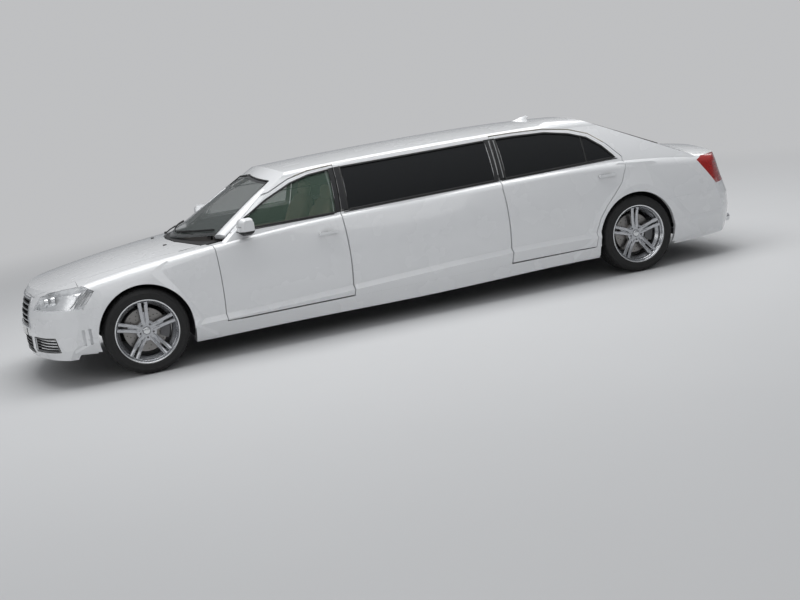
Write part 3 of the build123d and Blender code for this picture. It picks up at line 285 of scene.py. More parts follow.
class Form:
    """A mesh being built in the row frame."""

    def __init__(self):
        self.bm = bmesh.new()

    def grid(self, rows, ring=False, across=True):
        """Faces through rows of points that are closed across; ring joins the last row to the first."""
        made = [[self.bm.verts.new(p) for p in row] for row in rows]
        wide = len(rows[0])
        for i in range(len(rows) if ring else len(rows) - 1):
            one, two = made[i], made[(i + 1) % len(rows)]
            for j in range(wide if across else wide - 1):
                k = (j + 1) % wide
                self.bm.faces.new((one[j], two[j], two[k], one[k]))
        if not ring:
            self.bm.faces.new(made[0])
            self.bm.faces.new(made[-1])
        return self

    def turned(self, profile, centre=(0, 0, 0), axis=(0, 1, 0), steps=48, closed=False, wave=None):
        """Profile of (radius, height) turned about an axis; wave(step, index) scales a radius."""
        axis = Vector(axis).normalized()
        one = axis.orthogonal().normalized()
        two = axis.cross(one)
        rows = []
        for i in range(steps):
            turn = 2 * pi * i / steps
            out = one * cos(turn) + two * sin(turn)
            rows.append([
                Vector(centre) + out * (r * (wave(i, j) if wave else 1)) + axis * h
                for j, (r, h) in enumerate(profile)])
        return self.grid(rows, ring=True, across=closed)

    def block(self, low, high, bevel, turn=None, segments=2):
        """Rounded block between two corners, turned about its middle."""
        low, high = Vector(low), Vector(high)
        place = Matrix.Translation((low + high) / 2)
        if turn:
            place = place @ turn.to_4x4()
        made = bmesh.ops.create_cube(self.bm, size=1, matrix=place @ Matrix.Diagonal((*(high - low), 1)))
        edges = {e for v in made["verts"] for e in v.link_edges}
        bmesh.ops.bevel(self.bm, geom=list(edges), offset=bevel, segments=segments, affect="EDGES")
        return self

    def tube(self, spots, radius, sides=8, flat=1):
        """Round rod along points."""
        spots = [Vector(s) for s in spots]
        rows = []
        for i, spot in enumerate(spots):
            along = (spots[min(i + 1, len(spots) - 1)] - spots[max(i - 1, 0)]).normalized()
            side = along.cross(Vector(UP)).normalized()
            up = side.cross(along)
            rows.append([
                spot + (side * cos(2 * pi * j / sides) + up * sin(2 * pi * j / sides) * flat) * radius
                for j in range(sides)])
        return self.grid(rows)

    def pillow(self, centre, half, turn, power=3.6, channels=0):
        """Padded block tipped back about Y, with sewn channels across its width."""
        tip = Matrix.Rotation(turn, 3, "Y")

        def bow(value):
            return abs(value) ** (2 / power) * (1 if value > 0 else -1)
        rows = []
        for i in range(PAD_TURNS):
            a = 2 * pi * i / PAD_TURNS
            row = []
            for j in range(1, PAD_STEPS):
                b = -pi / 2 + pi * j / PAD_STEPS
                y = bow(sin(b))
                sunk = 0
                if channels and abs(y) < 0.86:
                    sunk = SEAM_DEPTH * abs(cos(pi * channels * y / 2)) ** 10
                x = bow(cos(b)) * bow(cos(a)) * (half[0] - sunk)
                z = bow(cos(b)) * bow(sin(a)) * (half[2] - sunk)
                row.append(Vector(centre) + tip @ Vector((x, y * half[1], z)))
            rows.append(row)
        self.grid(rows, ring=True, across=False)
        for end in (0, -1):
            self.bm.faces.new([self.bm.verts.new(row[end]) for row in rows])
        bmesh.ops.remove_doubles(self.bm, verts=self.bm.verts, dist=0.00001)
        return self

    def strip(self, found, width, rise, closed=False, sink=0.002):
        """Raised half-round strip through (point, normal) pairs."""
        rows = []
        for i, (spot, normal) in enumerate(found):
            before = found[i - 1][0] if i or closed else spot
            after = found[(i + 1) % len(found)][0] if i < len(found) - 1 or closed else spot
            across = normal.cross(after - before).normalized() * width / 2
            low, side, top = normal * -sink, normal * rise * 0.6, normal * rise
            rows.append([spot + across * u + lift for u, lift in (
                (-1, low), (-1, side), (-0.5, top), (0.5, top), (1, side), (1, low))])
        return self.grid(rows, ring=closed)

    def patch(self, name, toward, limit, planes, rise, skirt):
        """Part of a CAD node's skin facing one way, inside planes (point, normal), raised from it."""
        part = bmesh.new()
        part.from_mesh(NODES[name].data)
        bmesh.ops.remove_doubles(part, verts=part.verts, dist=0.00002)
        for spot, normal in planes:
            bmesh.ops.bisect_plane(
                part, geom=part.verts[:] + part.edges[:] + part.faces[:], plane_co=spot, plane_no=normal,
                clear_inner=True)
        toward = Vector(toward).normalized()
        part.normal_update()
        away = [f for f in part.faces if f.normal.dot(toward) < limit]
        bmesh.ops.delete(part, geom=away, context="FACES")
        part.normal_update()
        for layer in [*part.loops.layers.uv]:
            part.loops.layers.uv.remove(layer)
        rims = [e for e in part.edges if e.is_boundary]
        normals = {v: v.normal.copy() for v in part.verts}
        for v, normal in normals.items():
            v.co += normal * rise
        made = bmesh.ops.extrude_edge_only(part, edges=rims)
        old = {tuple(v.co): n for v, n in normals.items()}
        for v in made["geom"]:
            if isinstance(v, bmesh.types.BMVert):
                v.co -= old.get(tuple(v.co), Vector()) * skirt
        whole = bpy.data.meshes.new("part")
        part.to_mesh(whole)
        part.free()
        self.bm.from_mesh(whole)
        bpy.data.meshes.remove(whole)
        return self

    def placed(self, matrix):
        """Move all that is in the form so far."""
        bmesh.ops.transform(self.bm, matrix=matrix, verts=self.bm.verts)
        return self

    def piece(self, name, finish, carrier="roof", smooth=35, fix=True):
        """Finish the mesh as a named piece that rides on the body of a CAD node."""
        if fix:
            bmesh.ops.recalc_face_normals(self.bm, faces=self.bm.faces)
        mesh = bpy.data.meshes.new(name)
        self.bm.to_mesh(mesh)
        self.bm.free()
        mesh.materials.append(MATERIALS[finish])
        mesh.shade_smooth()
        mesh.set_sharp_from_angle(angle=radians(smooth))
        obj = stand(name, mesh)
        body = BODY_OF[carrier]
        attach(obj, body)
        return obj


def cover(name, node, finish, toward, limit, planes, rise, skirt):
    """Piece that lies on part of a CAD node's skin and rides with it."""
    return Form().patch(node, toward, limit, planes, rise, skirt).piece(name, finish, node, fix=False)


def bead(name, finish, carrier, found, width, rise, closed=False):
    """Raised strip along (point, normal) pairs, as a piece."""
    return Form().strip(found, width, rise, closed).piece(name, finish, carrier)


def within(**ranges):
    """Planes that keep what lies inside ranges of x, y or z, where None is an open end."""
    found = []
    for axis, (low, high) in ranges.items():
        way = Vector([float(axis == letter) for letter in "xyz"])
        found += [(way * low, way)] if low is not None else []
        found += [(way * high, -way)] if high is not None else []
    return found


def beyond(side, y=0):
    """Plane that keeps what lies further out than y on one side of the car."""
    return Vector((0, side * y, 0)), Vector((0, side, 0))


def on_side(node, hand):
    """Node's own name, or its name on one side of the car."""
    return node if node in NODES else f"{node}_{hand}"


def raised(by, *points):
    """Points (x, z) moved up."""
    return [(x, z + by) for x, z in points]


def side_spots(tree, points, side, step=0.03, closed=True):
    """Points and normals of a side skin under an outline of (x, z)."""
    found = [touch(tree, (p.x, side * 1.4, p.y), (0, -side, 0)) for p in spaced(points, step, closed)]
    return [f for f in found if f]


def front_spots(tree, points, toward=1, step=0.02, closed=True):
    """Points and normals of a nose or tail skin under an outline of (y, z)."""
    found = [touch(tree, (-toward * 4, p.x, p.y), (toward, 0, 0)) for p in spaced(points, step, closed)]
    return [f for f in found if f]


def from_front(*points):
    """Side outline measured from the front axle."""
    return [(X_FRONT + dx, z) for dx, z in points]


def from_rear(*points):
    """Side outline measured from the rear axle."""
    return [(X_REAR + dx, z) for dx, z in points]


FRONT_WINDOW = from_front(
    (0.905, 1.012), (1.704, 1.016), (1.742, 1.356), (1.56, 1.34), (1.39, 1.3), (1.15, 1.202), (0.93, 1.084))
REAR_WINDOW = from_rear(
    (-1.192, 1.044), (-0.11, 1.058), (-0.205, 1.17), (-0.32, 1.262), (-0.48, 1.318), (-0.7, 1.36),
    (-1, 1.374), (-1.18, 1.376))
CENTRE_WINDOW = [
    *from_front((1.815, 1.02)), *from_rear((-1.302, 1.042), (-1.286, 1.376)), *from_front((1.846, 1.362))]
GRILLE_OPENING = [(-0.372, 0.478), (0.372, 0.478), (0.34, 0.69), (-0.34, 0.69)]
LOWER_OPENING = [(-0.35, 0.262), (0.35, 0.262), (0.368, 0.388), (-0.368, 0.388)]
SIDE_OPENING = [(0.455, 0.29), (0.8, 0.3), (0.78, 0.402), (0.47, 0.398)]
WINDSCREEN_OPENING = [
    (-0.715, 0.985), (0, 0.958), (0.715, 0.985), (0.56, 1.338), (0, 1.376), (-0.56, 1.338)]
BACKLIGHT_OPENING = [
    (-0.61, 1.092), (0, 1.072), (0.61, 1.092), (0.5, 1.352), (0, 1.382), (-0.5, 1.352)]
LOUVRE_Z = (0.521, 0.563, 0.605, 0.647)
BAND_EDGE = 0.012
PLATE_HALF = 0.26
PLATE_STEPS = 14
PILLAR_STEPS = 14
PROJECTORS = ((0.585, 0.672, 0.033), (0.68, 0.688, 0.036))
SEAT_Y = 0.385
CUSHION_TIP, BACK_TIP, REST_TIP = radians(-5), radians(20), radians(14)
DASH_BACK = X_FRONT + 0.92


def edge_plane(a, b, keep):
    """Plane through a side line (x, z) that keeps what lies ahead or above (-1), or behind or below (1)."""
    run = Vector((b[0] - a[0], 0, b[1] - a[1])).normalized()
    return Vector((a[0], 0, a[1])), Vector((run.z, 0, -run.x)) * keep


def level_planes(low, high):
    """Planes that keep what lies above one side line and below another."""
    return [edge_plane(*low, -1), edge_plane(*high, 1)]


def add_window_band():
    """Black pillars between the side windows, seals round the glass, and thin grey strips at the rear pillar
    that are painted highlights.
    """
    belt = raised(-BAND_EDGE, FRONT_WINDOW[0], REAR_WINDOW[1])
    front_top = raised(BAND_EDGE, FRONT_WINDOW[2], CENTRE_WINDOW[3])
    rear_top = raised(BAND_EDGE, CENTRE_WINDOW[2], REAR_WINDOW[7])
    pillars = (
        ("door_front", "front_door", front_top, FRONT_WINDOW[1], FRONT_WINDOW[2], 1),
        ("centre_panels", "front_pillar", front_top, CENTRE_WINDOW[0], CENTRE_WINDOW[3], -1),
        ("centre_panels", "rear_pillar", rear_top, CENTRE_WINDOW[1], CENTRE_WINDOW[2], 1),
        ("door_rear", "rear_door", rear_top, REAR_WINDOW[0], REAR_WINDOW[7], -1))
    posts = (("front", front_top, X_FRONT + 1.715, X_FRONT + 1.835),
             ("rear", rear_top, X_REAR - 1.33, X_REAR - 1.175))
    panes = (("door_front", FRONT_WINDOW, "front"), ("door_rear", REAR_WINDOW, "rear"),
             ("centre_panels", CENTRE_WINDOW, "centre"))
    room = Vector((0.004, 0, 0))
    for hand, side in SIDES.items():
        for node, word, top, low, high, keep in pillars:
            name = on_side(node, hand)
            planes = [*level_planes(belt, top), edge_plane(low, high, keep), beyond(side)]
            form = Form().patch(name, (0, side, 0.2), 0.5, planes, 0.0018, 0.004)
            form.patch(name, (keep, 0, 0), 0.7, planes, 0.0005, 0.0005)
            form.piece(f"band_{word}_{hand}", "black_gloss", name, fix=False)
        for word, top, ahead, behind in posts:
            planes = [*level_planes(belt, top), *within(x=(ahead, behind)), beyond(side, 0.5)]
            form = Form()
            for toward, limit in (((0, side, 0.2), 0.3), (AHEAD, 0.6), (AFT, 0.6)):
                form.patch("roof", toward, limit, planes, 0.0005, 0)
            form.piece(f"post_{word}_{hand}", "black_gloss", "roof", fix=False)
        for node, outline, word in panes[::2]:
            ahead, behind = (edge_plane(outline[1], outline[2], keep) for keep in (1, -1))
            planes = [(ahead[0] - room, ahead[1]), (behind[0] + room, behind[1]), beyond(side),
                      edge_plane(*belt, -1)]
            name = on_side(node, hand)
            cover(f"reveal_{word}_{hand}", name, "black_gloss", AHEAD, 0.7, planes, 0.0003, 0)
        for node, outline, word in panes:
            name = on_side(node, hand)
            found = side_spots(skin(name), grown(outline, 0.003), side)
            bead(f"seal_{word}_{hand}", "seal", name, found, 0.016, 0.0045, closed=True)
        # Two thin satin strips, one on each side of the rear door's front shut line, are painted highlights
        # of the pillar and glass edges.
        tree = skin(f"door_rear_{hand}", "centre_panels")
        for index, dx, name in ((1, -1.258, "centre_panels"), (2, -1.214, f"door_rear_{hand}")):
            found = side_spots(tree, from_rear((dx, 1.052), (dx + 0.016, 1.372)), side, closed=False)
            bead(f"upright_{index}_{hand}", "satin", name, found, 0.007, 0.006)
        name = f"window_rear_{hand}"
        found = side_spots(skin(name), from_rear((-0.392, 1.058), (-0.372, 1.276)), side, closed=False)
        bead(f"glass_bar_{hand}", "seal", name, found, 0.016, 0.004)


def add_screen_borders():
    """Black printed borders of the windscreen and rear window, and the seals outside them."""
    screens = (("windscreen", WINDSCREEN_OPENING, 1), ("rear_window", BACKLIGHT_OPENING, -1))
    for node, outline, toward in screens:
        border = front_spots(skin(node), grown(outline, -0.013), toward, 0.03)
        bead(f"{node}_border", "black_gloss", node, border, 0.028, 0.0012, closed=True)
        around = skin(node, "roof", "cowl", "rear_deck")
        seal = front_spots(around, grown(outline, 0.001), toward, 0.03)
        bead(f"{node}_seal", "seal", node, seal, 0.012, 0.0055, closed=True)


def at_height(outline, z):
    """X where an outline of (x, z) that climbs crosses a height."""
    for (x0, z0), (x1, z1) in zip(outline, outline[1:]):
        if z <= z1:
            return x0 + (x1 - x0) * (z - z0) / (z1 - z0)


def add_front_pillars():
    """Painted pillars between the windscreen and the front doors, down to the cowl."""
    edge = from_front((0.655, 0.968), (0.84, 1.082), (1.12, 1.232), (1.38, 1.338))
    for hand, side in SIDES.items():
        glass, door = skin("windscreen"), skin(f"door_front_{hand}")
        rows = []
        for index in range(PILLAR_STEPS + 1):
            z = 0.992 + 0.28 * index / PILLAR_STEPS
            half = 0.715 - 0.155 * (z - 0.985) / 0.353
            inner = touch(glass, (-4, side * (half - 0.008), z), AFT)
            x = at_height(edge, z)
            tries = (touch(door, (x + 0.005 * step, side * 1.4, z), (0, -side, 0)) for step in range(80))
            outer = next(hit for hit in tries if hit)
            a = inner[0] + inner[1] * 0.004
            b = outer[0] + (a - outer[0]).normalized() * 0.014
            rise = (inner[1] + outer[1]).normalized() * (a - b).length * 0.16
            bow = [a.lerp(b, s) + rise * 4 * s * (1 - s) for s in (0.15, 0.35, 0.55, 0.75, 0.9)]
            rows.append([a - inner[1] * 0.03, a, *bow, b, b - outer[1] * 0.03])
        foot = [p + (p - q) * 0.8 for p, q in zip(rows[0], rows[1])]
        form = Form().grid([foot] + rows)
        form.piece(f"front_pillar_{hand}", "paint", "roof", 50)


def add_mouldings():
    """Thin dark moulding under the side glass, on each body by itself."""
    spans = (("door_front", from_front((0.8, 0.995), (1.742, 1.003))),
             ("centre_panels", from_front((1.772, 1.004)) + from_rear((-1.262, 1.03))),
             ("door_rear", from_rear((-1.236, 1.03), (-0.085, 1.044))))
    for hand, side in SIDES.items():
        for node, line in spans:
            name = on_side(node, hand)
            found = side_spots(skin(name), line, side, 0.05, closed=False)
            bead(f"moulding_{name}_{hand}", "seal", name, found, 0.007, 0.003)


def lamp_shell(node, hand, toward, finishes, bowl_rise, bowl_skirt):
    """Lens on a lamp's skin, which stands for the CAD lamp, and a bowl behind it."""
    name = f"{node[:-1]}_{hand}"
    half = [beyond(SIDES[hand])]
    lens = cover(f"{name}_lens", node, finishes[0], toward, 0.35, half, 0, 0.012)
    cover(f"{name}_bowl", node, finishes[1], toward, 0.35, half, bowl_rise, bowl_skirt)
    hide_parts(node)


def add_headlamps():
    """Clear lens over a silver bowl with two projectors on each side."""
    tree = skin("headlamps")
    low_a, low_b, high_b, high_a = (
        Vector(p) for p in from_front((-0.56, 0.64), (-0.47, 0.65), (-0.395, 0.735), (-0.44, 0.752)))
    for hand, side in SIDES.items():
        lamp_shell("headlamps", hand, (-1, side * 0.8, 0.3), ("lens", "silver"), -0.045, -0.042)
        glow, ring = Form(), Form()
        for y, z, size in PROJECTORS:
            centre = touch(tree, (-4, side * y, z), AFT)[0] + Vector((0.04, 0, 0))
            glow.turned(
                [(0, -0.014), (size * 0.45, -0.011), (size * 0.8, -0.003), (size * 0.86, 0.006)],
                centre, AFT, 32)
            ring.turned([(size * 0.88, -0.004), (size * 0.95, -0.01), (size * 1.06, -0.008),
                         (size * 1.12, 0.004), (size * 1.15, 0.02)], centre, AFT, 32)
        glow.piece(f"headlamp_{hand}_projectors", "dark_glass", "headlamps")
        ring.piece(f"headlamp_{hand}_rings", "machined", "headlamps")
        blade = Form()
        for share in (0, 0.33, 0.66, 1):
            line = [low_a.lerp(low_b, share), high_a.lerp(high_b, share)]
            found = side_spots(tree, line, side, 0.015, closed=False)
            found = [(p - n * 0.016, n) for p, n in found if abs(p.y) < 0.93]
            blade.strip(found, 0.01, 0.006, sink=0.004)
        blade.piece(f"headlamp_{hand}_blinker", "satin", "headlamps")


def add_tail_lamps():
    """Red lens with a ribbed core behind it."""
    tree = skin("tail_lamps")
    for hand, side in SIDES.items():
        lamp_shell("tail_lamps", hand, (1, side * 0.8, 0.2), ("lamp_red", "red_core"), -0.03, -0.026)
        bars = Form()
        for z in (0.725, 0.775, 0.825, 0.875):
            found = []
            for turn in range(6, 90, 3):
                out = Vector((cos(radians(turn)), side * sin(radians(turn)), 0))
                hit = touch(tree, Vector((X_REAR + 0.8, side * 0.52, z)) + out * 0.9, -out)
                if hit and hit[1].dot(out) > 0.25:
                    found.append((hit[0] - hit[1] * 0.014, hit[1]))
            bars.strip(found, 0.014, 0.006, sink=0.01)
        bars.piece(f"tail_lamp_{hand}_ribs", "red_core", "tail_lamps")


def add_grille():
    """Chrome surround and louvre caps, and dark edges round the lower openings."""
    tree = skin("front_bumper")
    found = front_spots(tree, grown(GRILLE_OPENING, 0.01))
    bead("grille_surround", "chrome", "front_bumper", found, 0.019, 0.007, closed=True)
    louvres = skin("grille")
    caps = Form()
    for z in LOUVRE_Z:
        reach = 0.345 - (z - 0.478) * 0.13
        caps.strip(front_spots(louvres, [(-reach, z), (reach, z)], closed=False), 0.007, 0.004)
    caps.piece("grille_louvre_caps", "chrome", "grille")
    left = [(-y, z) for y, z in SIDE_OPENING]
    for word, outline in (("middle", LOWER_OPENING), ("left", left), ("right", SIDE_OPENING)):
        found = front_spots(tree, grown(outline, 0.005))
        bead(f"bumper_opening_{word}_edge", "seal", "front_bumper", found, 0.008, 0.003, closed=True)


def plate(name, node, z, toward, tall):
    """Blank number plate that follows the skin, with its dark frame."""
    tree = skin(node)
    low, high = z - tall / 2, z + tall / 2
    spots = []
    for index in range(PLATE_STEPS + 1):
        y = -PLATE_HALF + 2 * PLATE_HALF * index / PLATE_STEPS
        hits = [touch(tree, (-toward * 4, y, level), (toward, 0, 0)) for level in (low, high)]
        spots.append((y, min(hit[0].x * toward for hit in hits)))
    for word, finish, grow, out in (("frame", "seal", 0.007, 0.002), ("face", "plate", 0, 0.0045)):
        rows = []
        for y, reach in spots:
            across = y * (1 + grow / PLATE_HALF)
            x, back = toward * (reach - out), toward * (reach + 0.004)
            rows.append([(back, across, low - grow), (x, across, low - grow + 0.0015),
                         (x, across, high + grow - 0.0015), (back, across, high + grow)])
        Form().grid(rows).piece(f"{name}_{word}", finish, node)


def add_plates():
    """Blank plates front and rear, and the bright strip over the rear one."""
    plate("front_plate", "front_bumper", 0.433, 1, 0.074)
    plate("rear_plate", "boot_lid", 0.762, -1, 0.11)
    found = front_spots(skin("boot_lid"), [(-0.36, 0.842), (0.36, 0.842)], -1, closed=False)
    bead("boot_strip", "chrome", "boot_lid", found, 0.024, 0.01)


def add_mirrors():
    """Black foot, glass and lower shell of the door mirrors."""
    for hand, side in SIDES.items():
        name = f"mirror_{hand}"
        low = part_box(name)[0][2]
        centre = middle(name)
        cover(f"{name}_foot", name, "trim", DOWN, -1.1, within(z=(None, low + 0.034)), 0.0012, 0.002)
        planes = [beyond(side, abs(centre.y) - 0.035), *within(z=(low + 0.038, None))]
        cover(f"{name}_glass", name, "mirror_face", AFT, 0.72, planes, 0.0012, 0.002)
        line = [(side * (0.905 + i * 0.012), centre.z + 0.004) for i in range(11)]
        found = front_spots(skin(name), line, step=1, closed=False)
        bead(f"{name}_blinker", "satin", name, found, 0.007, 0.0025)


def add_aerial_fin():
    """Low painted fin on the roof."""
    tree = skin("roof")
    start = X_REAR - 0.695
    rows = []
    for share, half in ((0, 0.002), (0.15, 0.016), (0.5, 0.024), (0.85, 0.022), (1, 0.004)):
        x = start + 0.15 * share
        z = touch(tree, (x, 0, 3), DOWN)[0].z
        rise = 0.042 * max(0.03, 1 - abs(share - 0.8) / 0.82) ** 1.2
        rows.append([(x + shift * share, half * y, z + up) for shift, y, up in (
            (0, -1, -0.003), (0.01, -0.35, rise * 0.7), (0.016, 0, rise), (0.01, 0.35, rise * 0.7),
            (0, 1, -0.003))])
    Form().grid(rows).piece("aerial_fin", "paint", "roof", 50)


def add_wipers():
    """Two wipers parked on the windscreen, and the washer jets on the bonnet."""
    glass = skin("windscreen")
    for word, outer, inner in (("left", -0.64, -0.06), ("right", 0.02, 0.56)):
        line = [(y, 0.99 + 0.04 * abs(y)) for y in (outer, (outer + inner) / 2, inner)]
        spots = [p + n * 0.011 for p, n in front_spots(glass, line, step=0.05, closed=False)]
        Form().tube(spots, 0.0055, 6, flat=1.7).piece(f"wiper_blade_{word}", "seal")
        rest = spots[len(spots) // 2]
        hub = Vector((rest.x - 0.06, inner + 0.02, 0))
        under = touch(skin("cowl", "bonnet"), (hub.x, hub.y, 3), DOWN)
        hub.z = under[0].z + 0.006 if under else rest.z - 0.02
        bend = hub.lerp(rest, 0.5) + Vector((-0.004, 0, 0.006))
        arm = Form().tube([hub, bend, rest + Vector((-0.006, 0, 0.006))], 0.006, 6)
        arm.turned([(0, 0.012), (0.01, 0.012), (0.014, 0.006), (0.014, -0.01)], hub, UP, 16)
        arm.piece(f"wiper_arm_{word}", "trim")
    jets = Form()
    for side in SIDES.values():
        spot = touch(skin("bonnet"), (X_FRONT + 0.33, side * 0.35, 3), DOWN)[0]
        jets.block(spot + Vector((-0.016, -0.01, -0.002)), spot + Vector((0.016, 0.01, 0.007)), 0.003)
    jets.piece("washer_jets", "trim", "bonnet")


def add_fuel_flap():
    """Round seam of the fuel flap on the right-hand quarter."""
    ring = [(X_REAR + 0.42 + 0.082 * cos(radians(turn)), 0.845 + 0.082 * sin(radians(turn)))
            for turn in range(0, 360, 10)]
    found = side_spots(skin("quarter_right"), ring, 1)
    bead("fuel_flap_gap", "seal", "quarter_right", found, 0.004, 0.0008, closed=True)


def add_tailpipes():
    """Bright rolled tips on the four tailpipes."""
    tips = Form()
    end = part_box("exhaust")[1][0]
    for y in (-0.605, -0.515, 0.515, 0.605):
        tips.turned([(0.0345, 0), (0.0365, -0.004), (0.0395, -0.004), (0.041, 0), (0.0405, 0.07),
                     (0.0345, 0.07)], (end, y, 0.29), AHEAD, 32, closed=True)
    tips.piece("tailpipe_tips", "chrome", "exhaust")


RIM = [
    (0.259, -0.118), (0.259, -0.111), (0.2415, -0.105), (0.241, -0.061), (0.221, -0.045), (0.221, 0.02),
    (0.241, 0.044), (0.2415, 0.105), (0.259, 0.111), (0.259, 0.118), (0.251, 0.118), (0.233, 0.102),
    (0.232, 0.05), (0.212, 0.024), (0.212, -0.04), (0.232, -0.066), (0.234, -0.094), (0.243, -0.104),
    (0.247, -0.114), (0.251, -0.118)]
SPOKE_ROWS = ((0.052, -0.066, 0.03), (0.08, -0.069, 0.032), (0.12, -0.0705, 0.032), (0.165, -0.078, 0.032),
              (0.205, -0.089, 0.032), (0.236, -0.101, 0.032))
SPOKE_EDGE = (
    (-0.75, 1), (-1, 0.3), (-0.86, 0.06), (-0.66, 0), (0.66, 0), (0.86, 0.06), (1, 0.3), (0.75, 1))
HALF_TYRE = [
    (0.2415, -0.1), (0.2415, -0.105), (0.2592, -0.112), (0.2605, -0.1185), (0.268, -0.1238),
    (0.2695, -0.1252), (0.272, -0.1258), (0.2735, -0.125), (0.29, -0.1272), (0.305, -0.1268),
    (0.3065, -0.1275), (0.3095, -0.127), (0.311, -0.1256), (0.323, -0.122), (0.333, -0.115),
    (0.3385, -0.108), (0.342, -0.099), (0.344, -0.088), (0.345, -0.076), (0.338, -0.075),
    (0.338, -0.067), (0.3455, -0.066), (0.346, -0.032), (0.3385, -0.031), (0.3385, -0.021),
    (0.346, -0.02), (0.346, -0.002)]
TYRE_STEPS = 160
BOLT_CIRCLE = 0.056


def rim_form():
    """Rim with five pairs of spokes and the hub."""
    form = Form().turned(RIM, steps=96, closed=True)
    form.turned([(0, -0.072), (0.028, -0.072), (0.03, -0.07), (0.033, -0.0655), (0.046, -0.065),
                 (0.07, -0.067), (0.082, -0.064), (0.084, -0.052), (0.084, -0.035), (0, -0.035)],
                steps=60)
    bars = []
    for way in (-1, 1):
        rows = []
        for radius, face, deep in SPOKE_ROWS:
            share = (radius - 0.052) / (0.236 - 0.052)
            off = way * (0.017 + 0.0085 * share)
            half = 0.015 + 0.0015 * abs(1 - 2 * share)
            rows.append([(off + u * half, face + v * deep, radius) for u, v in SPOKE_EDGE])
        bars.append(rows)
    bars.append([[(x, -0.05 + y, r) for x, y in ((-w, 0.014), (-w, 0), (w, 0), (w, 0.014))]
                 for r, w in ((0.06, 0.02), (0.12, 0.01), (0.15, 0.006))])
    for pair in range(5):
        turn = Matrix.Rotation(2 * pi * pair / 5, 4, "Y")
        for rows in bars:
            form.grid([[turn @ Vector(p) for p in row] for row in rows])
    return form


def lip_form():
    """Bright machined edge and hub cap."""
    form = Form().turned(
        [(0.2475, -0.114), (0.2512, -0.1183), (0.2588, -0.1183), (0.2594, -0.115)], steps=96)
    form.turned([(0, -0.0765), (0.012, -0.0762), (0.023, -0.0748), (0.0275, -0.0725), (0.0285, -0.069)],
                steps=40)
    return form


def bolt_form():
    """Wheel bolts and tyre valve."""
    form = Form()
    for index in range(5):
        turn = 2 * pi * (index + 0.5) / 5
        spot = (BOLT_CIRCLE * sin(turn), -0.064, BOLT_CIRCLE * cos(turn))
        form.turned([(0, -0.0085), (0.0045, -0.0085), (0.005, -0.006), (0.0078, -0.006), (0.0088, -0.0045),
                     (0.0088, 0.001)], spot, steps=6)
    form.tube([(0.012, -0.088, 0.226), (0.012, -0.1, 0.216)], 0.0042)
    return form


def disc_form():
    """Brake disc with its groove, its bell and the hub pin."""
    return Form().turned([
        (0, -0.04), (0.086, -0.04), (0.088, -0.038), (0.088, -0.006), (0.177, -0.006),
        (0.178, -0.005), (0.178, 0.005), (0.172, 0.006), (0.172, 0.014), (0.178, 0.015), (0.178, 0.025),
        (0.177, 0.026), (0.034, 0.026), (0.034, 0.096), (0, 0.096)], steps=72)


def hole_shade_discs():
    """Dark discs round the brake disc, painted shade where the drilled holes are."""
    form = Form()
    for index in range(40):
        turn = 2 * pi * index / 40
        radius = (0.112, 0.134, 0.156)[index % 3]
        spot = (radius * sin(turn), -0.0062, radius * cos(turn))
        form.turned([(0, -0.0001), (0.0042, -0.0001), (0.0046, 0.0004)], spot, steps=8)
    return form


def tyre_form():
    """Tyre with four grooves, cut shoulders and ribs on its walls."""
    inner = [(0.328, -0.098), (0.3, -0.115), (0.262, -0.105)]
    profile = [*HALF_TYRE, *[(r, -y) for r, y in reversed(HALF_TYRE)], *[(r, -y) for r, y in reversed(inner)],
               (0.334, 0), *inner]

    def wave(step, index):
        radius, y = profile[index]
        if radius > 0.3378 and abs(y) > 0.0755 and step % 4 == 0:
            return 1 - 0.0045 / radius
        if radius > 0.344 and 0.031 < abs(y) < 0.067 and step % 8 == (2 if y > 0 else 6):
            return 1 - 0.0035 / radius
        return 1
    return Form().turned(profile, steps=TYRE_STEPS, closed=True, wave=wave)


def add_wheels():
    """Wheels and tyres at the four corners."""
    makers = (("rim", rim_form, "alloy", 30), ("lip", lip_form, "machined", 50),
              ("bolts", bolt_form, "steel", 30), ("disc", disc_form, "disc", 30),
              # The dark discs on the brake disc are painted shade of drilled holes.
              ("hole_shade_discs", hole_shade_discs, "seal", 30))
    for axle, x in (("front", X_FRONT), ("rear", X_REAR)):
        for hand, side in SIDES.items():
            wheel, tyre = f"wheel_{axle}_{hand}", f"tyre_{axle}_{hand}"
            place = Matrix.Translation((x, side * HALF_TRACK, WHEEL_Z))
            if side > 0:
                place = place @ Matrix.Rotation(pi, 4, "Z")
            made = [maker().placed(place).piece(f"{wheel}_{word}", finish, wheel, angle)
                    for word, maker, finish, angle in makers]
            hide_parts(wheel)
            made = tyre_form().placed(place).piece(f"{tyre}_tread", "tyre", tyre, 28)
            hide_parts(tyre)


def add_pads(name, carrier, pads):
    """Leather pads, each (word, form, fill), where the fill is not used. The first is handed back."""
    made = [(form.piece(f"{name}_{word}", "leather", carrier, 60), fill) for word, form, fill in pads]
    return made[0][0]


